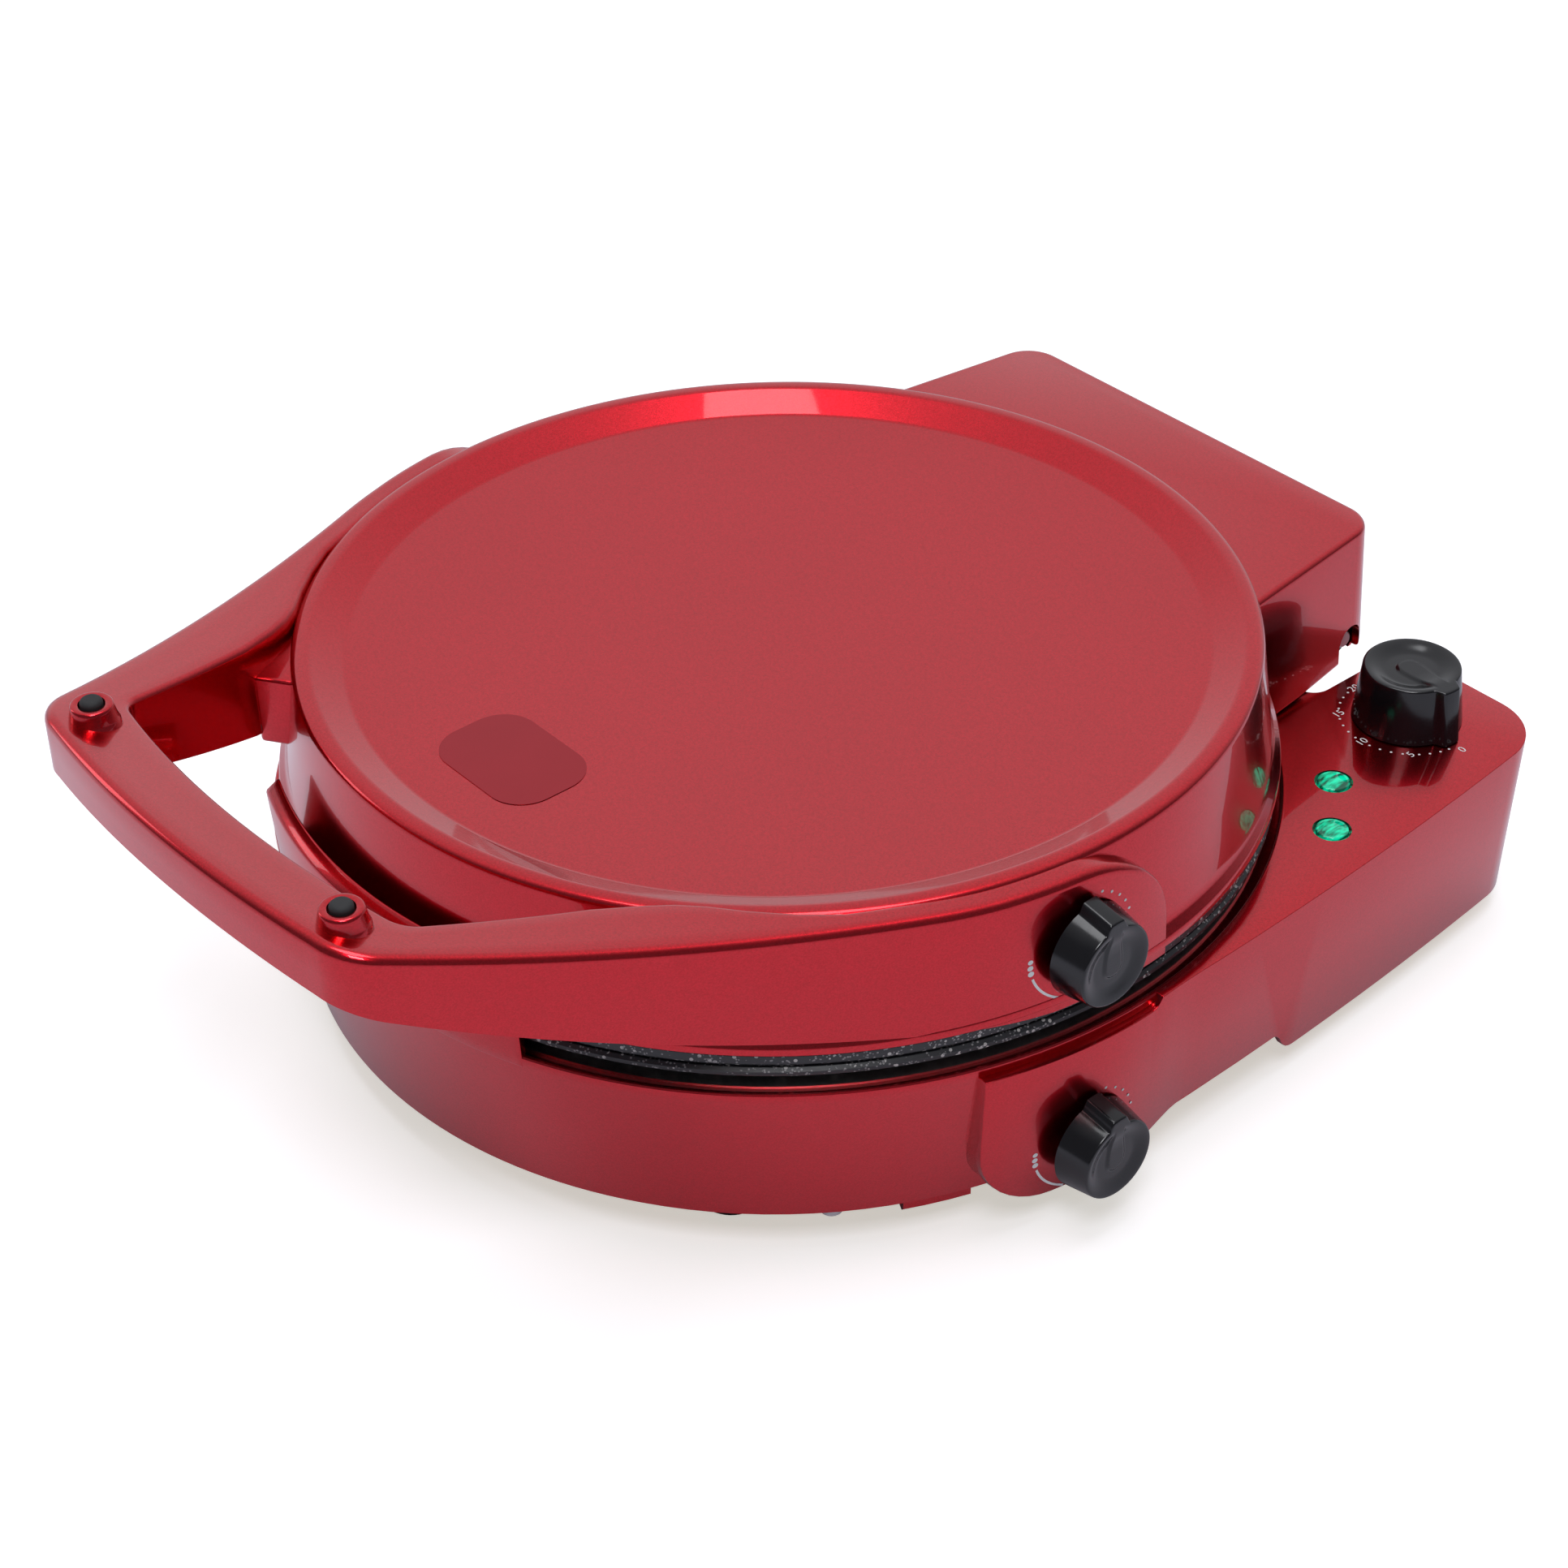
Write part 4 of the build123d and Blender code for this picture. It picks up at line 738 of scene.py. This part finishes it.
# the boss's top is as low as the ledge, and eases up to the console's top
carve(console, side_prism([(-80.0, LEDGE_HEIGHT), (2.6, LEDGE_HEIGHT), (4.0, 67.0), (5.2, 67.9), (6.2, 69.2),
                           (7.0, 70.4), (7.0, 80.0), (-80.0, 80.0)]))
round_edges(console, 1.7, 4)
carve(console, turned([(0, 0), (158.0, 0), (165.3, 66.0), (165.3, 90), (0, 90)]))
hollow_drop = 6.0
hollow_top = RIM_HEIGHT - hollow_drop
hollow = prism(offset_outline(console_plan, WALL + CONSOLE_LEAN * hollow_drop), 0.0, hollow_top,
               -CONSOLE_LEAN * hollow_top)
carve(hollow, side_prism([(-54.5, hollow_top), (-54.5, 0.0), (225.0, 0.0), (225.0, hollow_top)]), "INTERSECT")
carve(console, hollow)
for x, y in LENS_PLACES.values():
    bore(console, x, y, 69.0, 6.3, 16.0)
bore(console, TIMER_X, TIMER_Y, 69.0, SHAFT_HOLE_RADIUS, 16.0)
bore(console, 166.0, CONTROL_Y, LOWER_CONTROL_HEIGHT, SHAFT_HOLE_RADIUS, 16.0, "X")

# Base: the guard at the front
GUARD_START, GUARD_SWEEP = -112.3, 44.6
guard = turned([(163.8, 66.2), (166.2, 66.2), (166.4, RIM_HEIGHT), (168.6, 98.7), (168.3, 99.6), (164.9, 102.5),
                (164.3, 102.8), (163.8, 102.4)], GUARD_START, GUARD_SWEEP, 60)
round_edges(guard, 0.7, 3, 50.0)

base_shell = joined([pot, console, guard])
finish_piece(base_shell, "base_shell", RED, "base")
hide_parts("base_housing")


# Knobs: the pointer bar in shares of the base's radius, the dish in shares of the face's
BAR_HALF_WIDTH, BAR_PROUD = 0.125, 0.165
DISH_EDGE, DISH_DEPTH, DISH_SLOPE = 0.955, 0.115, 0.42


def control_knob(name, middle, axis, pointer, base_radius, face_radius, length, body):
    """A tapered knob with a pointer bar down its side, whose tail stays proud in a hollowed face."""
    axis, pointer = Vector(axis), Vector(pointer)
    across = axis.cross(pointer)
    bar = base_radius * BAR_HALF_WIDTH

    def edge(angle, radius):
        """The outline's distance from the axis at an angle from the pointer."""
        aside = abs(radius * sin(angle)) if cos(angle) > 0 else 99.0
        return radius + base_radius * BAR_PROUD * (1 - ease(aside, bar, bar * 2.3))

    def tail(ahead, aside):
        """How proud the pointer's tail stands on the face: 1 at the rim, less at its wide end, 0 beside it."""
        half = bar * (1.75 - 0.8 * ease(ahead, 0.0, face_radius))
        past = -0.06 * face_radius
        distance = abs(aside) if ahead > past else hypot(aside, ahead - past)
        level = 0.38 + 0.62 * ease(ahead, 0.25 * face_radius, face_radius)
        return level * (1 - ease(distance, half - 0.35, half + 0.6))

    angles = sorted({k * 1.25 for k in range(-17, 18)} | {22.5 + k * 3.5 for k in range(91)})
    rows = [[(0.0, radians(a), 0.0) for a in angles]]
    for height, shrink in ((0.0, 1.0), (length * 0.5, 1.0), (length - 0.7, 1.0), (length - 0.3, 0.994),
                           (length - 0.05, 0.975)):
        radius = base_radius + (face_radius - base_radius) * height / length
        rows.append([(edge(radians(a), radius) * shrink, radians(a), height) for a in angles])
    for share in [DISH_EDGE - 0.0325 * k for k in range(29)] + [0.0]:
        row = []
        for a in angles:
            reach = edge(radians(a), face_radius) * share
            dish = face_radius * DISH_DEPTH * ease(DISH_EDGE - min(1.0, reach / face_radius), 0.0, DISH_SLOPE)
            keep = tail(reach * cos(radians(a)), reach * sin(radians(a)))
            row.append((reach, radians(a), length - dish * (1 - keep)))
        rows.append(row)
    place = Vector(middle)
    spots = [[place + pointer * (r * cos(a)) + across * (r * sin(a)) + axis * h for r, a, h in row + row[:1]]
             for row in rows]
    knob = sheet_of(spots)
    edit(knob)
    bpy.ops.mesh.remove_doubles(threshold=2 * WELD)
    bpy.ops.mesh.delete_loose()
    close_edit(knob)
    finish_piece(knob, name + "_shaped", KNOB, body, 40.0)
    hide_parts(name)


control_knob("upper_temperature_knob", (163.1, CONTROL_Y, UPPER_CONTROL_HEIGHT), (1, 0, 0), (0, 0, 1),
             15.5, 13.6, 11.6, "upper_control")
control_knob("lower_temperature_knob", (168.5, CONTROL_Y, LOWER_CONTROL_HEIGHT), (1, 0, 0), (0, 0, 1),
             15.5, 13.6, 11.6, "lower_control")
timer_heading = radians(-5.0)
control_knob("timer_knob", (TIMER_X, TIMER_Y, 70.7), (0, 0, 1), (cos(timer_heading), sin(timer_heading), 0),
             18.4, 16.2, 20.0, "timer_control")

# White printing: dots, arcs and numbers, a hair above the paint
PRINT_LIFT = 0.04
PRINT_HEIGHT = RIM_HEIGHT + PRINT_LIFT


def upper_wall(y, z):
    """The arms' outer wall: x at a y, the same at every height."""
    return sqrt(ARM_RADIUS ** 2 - y * y) + PRINT_LIFT


def lower_wall(y, z):
    """The boss's wall, which leans in below the ledge: x at a y and a height."""
    return sqrt((BOSS_RADIUS - (LEDGE_HEIGHT - z) * CONSOLE_LEAN) ** 2 - y * y) + PRINT_LIFT


def dot_edge(across, along, size):
    """The corners of a round dot about a point of a surface."""
    return [(across + size * cos(radians(a)), along + size * sin(radians(a))) for a in range(0, 360, 24)]


def flat_spot(outline):
    """A flat printed spot on points in mm."""
    spot = loop_of([at(*point) for point in outline])
    edit(spot)
    bpy.ops.mesh.edge_face_add()
    bpy.ops.object.mode_set(mode="OBJECT")
    return spot


def print_marks(name, spots, facing, body):
    """Joins printed spots into one piece that faces a direction."""
    piece = joined(spots)
    for face in piece.data.polygons:
        if face.normal.dot(Vector(facing)) < 0:
            face.flip()
    finish_piece(piece, name, WHITE, body)


def knob_scale(name, height, wall, body, dots):
    """The heat scale round a temperature knob: dots, and an arc of 13 short pieces with a dot at its end."""

    def on_wall(back, rise):
        """The point on the wall that lies behind and above the knob's middle."""
        return wall(CONTROL_Y + back, height + rise), CONTROL_Y + back, height + rise

    def round_knob(radius, clock):
        """How far behind and above the knob's middle a place lies, at an angle clockwise from the top."""
        return radius * sin(radians(clock)), radius * cos(radians(clock))

    spots = []
    for clock, size in dots + [(-87.0, 0.85), (-94.0, 0.95), (-101.0, 1.0), (-172.0, 0.95)]:
        spots.append(flat_spot([on_wall(*point) for point in dot_edge(*round_knob(18.1, clock), size)]))
    outer, inner = ([on_wall(*round_knob(radius, -108.0 - 3.8 * k)) for k in range(14)] for radius in (18.5, 17.7))
    for k in range(13):
        spots.append(flat_spot([outer[k], outer[k + 1], inner[k + 1], inner[k]]))
    print_marks(name, spots, (1, 0, 0), body)


knob_scale("upper_scale", UPPER_CONTROL_HEIGHT, upper_wall, "lid", [(20 + 13.0 * k, 0.5) for k in range(5)])
knob_scale("lower_scale", LOWER_CONTROL_HEIGHT, lower_wall, "base",
           [(20 + 14.0 * k, 0.5) for k in range(6)] + [(112.0, 0.9)])

DIAL_RADIUS = 22.5
dial = []
for angle in (-11.1, -19.7, -29.3, -38.6, -52.3, -62.0, -71.8, -81.6, -97.1, -107.0, -116.9, -126.8,
              -142.4, -151.2, -160.1, -169.0):
    x, y = TIMER_X + DIAL_RADIUS * cos(radians(angle)), TIMER_Y + DIAL_RADIUS * sin(radians(angle))
    dial.append(flat_spot([(*point, PRINT_HEIGHT) for point in dot_edge(x, y, 0.42)]))
for text, angle, radius in (("0", -3.0, 25.2), ("5", -45.5, DIAL_RADIUS), ("10", -89.4, DIAL_RADIUS),
                            ("15", -134.6, DIAL_RADIUS), ("20", -178.0, DIAL_RADIUS)):
    bpy.ops.object.select_all(action="DESELECT")
    bpy.ops.object.text_add()
    number = bpy.context.object
    number.data.body = text
    number.data.size = 4.3 * MM
    number.data.align_x, number.data.align_y = "CENTER", "CENTER"
    number.data.resolution_u = 3
    bpy.ops.object.convert(target="MESH")
    number = bpy.context.object
    number.location = at(TIMER_X + radius * cos(radians(angle)), TIMER_Y + radius * sin(radians(angle)), PRINT_HEIGHT)
    number.rotation_euler = (0, 0, radians(90))
    bpy.ops.object.transform_apply(location=True, rotation=True, scale=True)
    dial.append(number)
print_marks("timer_dial", dial, (0, 0, 1), "base")

# Indicator lenses: clear domes with a cut ring
lens_profile = [(0.0, 66.4), (7.4, 66.4), (7.4, 67.4), (5.5, 67.4), (5.4, 70.0), (5.2, 70.5), (4.7, 70.7),
                (4.4, 70.6), (4.2, 70.65), (3.2, 71.0), (1.8, 71.3), (0.0, 71.4)]
for name, place in LENS_PLACES.items():
    lens = turned(lens_profile, steps=48, middle=place)
    finish_piece(lens, name + "_dome", LENS, "base", 50.0)
    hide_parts(name)

# Studio: a pale floor, a sky that is bright behind the object, and soft boxes
bpy.ops.object.select_all(action="DESELECT")
bpy.ops.mesh.primitive_plane_add(size=14.0, location=(0, 0, -0.0002))
floor = bpy.context.object
floor.name = "floor"
paper = Finish("paper", Roughness=0.9, Specular_IOR_Level=0.1)
paper.feed("Base Color", paper.mix(paper.noise(1.5), (0.72, 0.72, 0.80, 1), (0.75, 0.75, 0.82, 1)))
seen = paper.node("ShaderNodeLightPath")
paper.feed("Emission Color", paper.mix(seen, (0, 0, 0, 1), (0.55, 0.54, 0.49, 1)))
paper.surface.inputs["Emission Strength"].default_value = 1.0
floor.data.materials.append(paper.material)

world = bpy.data.worlds.new("sky")
scene.world = world
world.use_nodes = True
sky = world.node_tree
bright_side = (-0.62, 0.52, 0.588)
spot = sky.nodes.new("ShaderNodeTexCoord")
toward = sky.nodes.new("ShaderNodeVectorMath")
toward.operation = "DOT_PRODUCT"
toward.inputs[1].default_value = bright_side
spread = sky.nodes.new("ShaderNodeValToRGB")
spread.color_ramp.elements[0].position, spread.color_ramp.elements[0].color = 0.15, (0.16, 0.16, 0.18, 1)
spread.color_ramp.elements[1].position, spread.color_ramp.elements[1].color = 0.80, (0.72, 0.73, 0.77, 1)
path = sky.nodes.new("ShaderNodeLightPath")
seen_sky = sky.nodes.new("ShaderNodeMix")
seen_sky.data_type = "RGBA"
seen_sky.inputs[7].default_value = (1, 1, 1, 1)
sky.links.new(spot.outputs["Generated"], toward.inputs[0])
sky.links.new(toward.outputs["Value"], spread.inputs[0])
sky.links.new(path.outputs["Is Camera Ray"], seen_sky.inputs[0])
sky.links.new(spread.outputs[0], seen_sky.inputs[6])
sky.links.new(seen_sky.outputs[2], sky.nodes["Background"].inputs[0])


def soft_box(name, place, target, size, power):
    """A rectangular light of a size in metres, turned to a target."""
    lamp = bpy.data.lights.new(name, "AREA")
    lamp.shape = "RECTANGLE"
    lamp.size, lamp.size_y = size
    lamp.energy = power
    lamp.color = (0.96, 0.97, 1.0)
    holder = bpy.data.objects.new(name, lamp)
    scene.collection.objects.link(holder)
    holder.location = place
    holder.rotation_euler = (Vector(target) - Vector(place)).to_track_quat("-Z", "Y").to_euler()


soft_box("top_box", (0.0, 0.0, 2.4), (0, 0, 0), (1.2, 1.2), 18)
soft_box("near_box", (0.95, -0.8, 2.0), (0, 0, 0.1), (0.7, 0.7), 15)
soft_box("left_box", (-1.9, -1.2, 0.9), (0, 0, 0.1), (0.5, 1.2), 3.5)
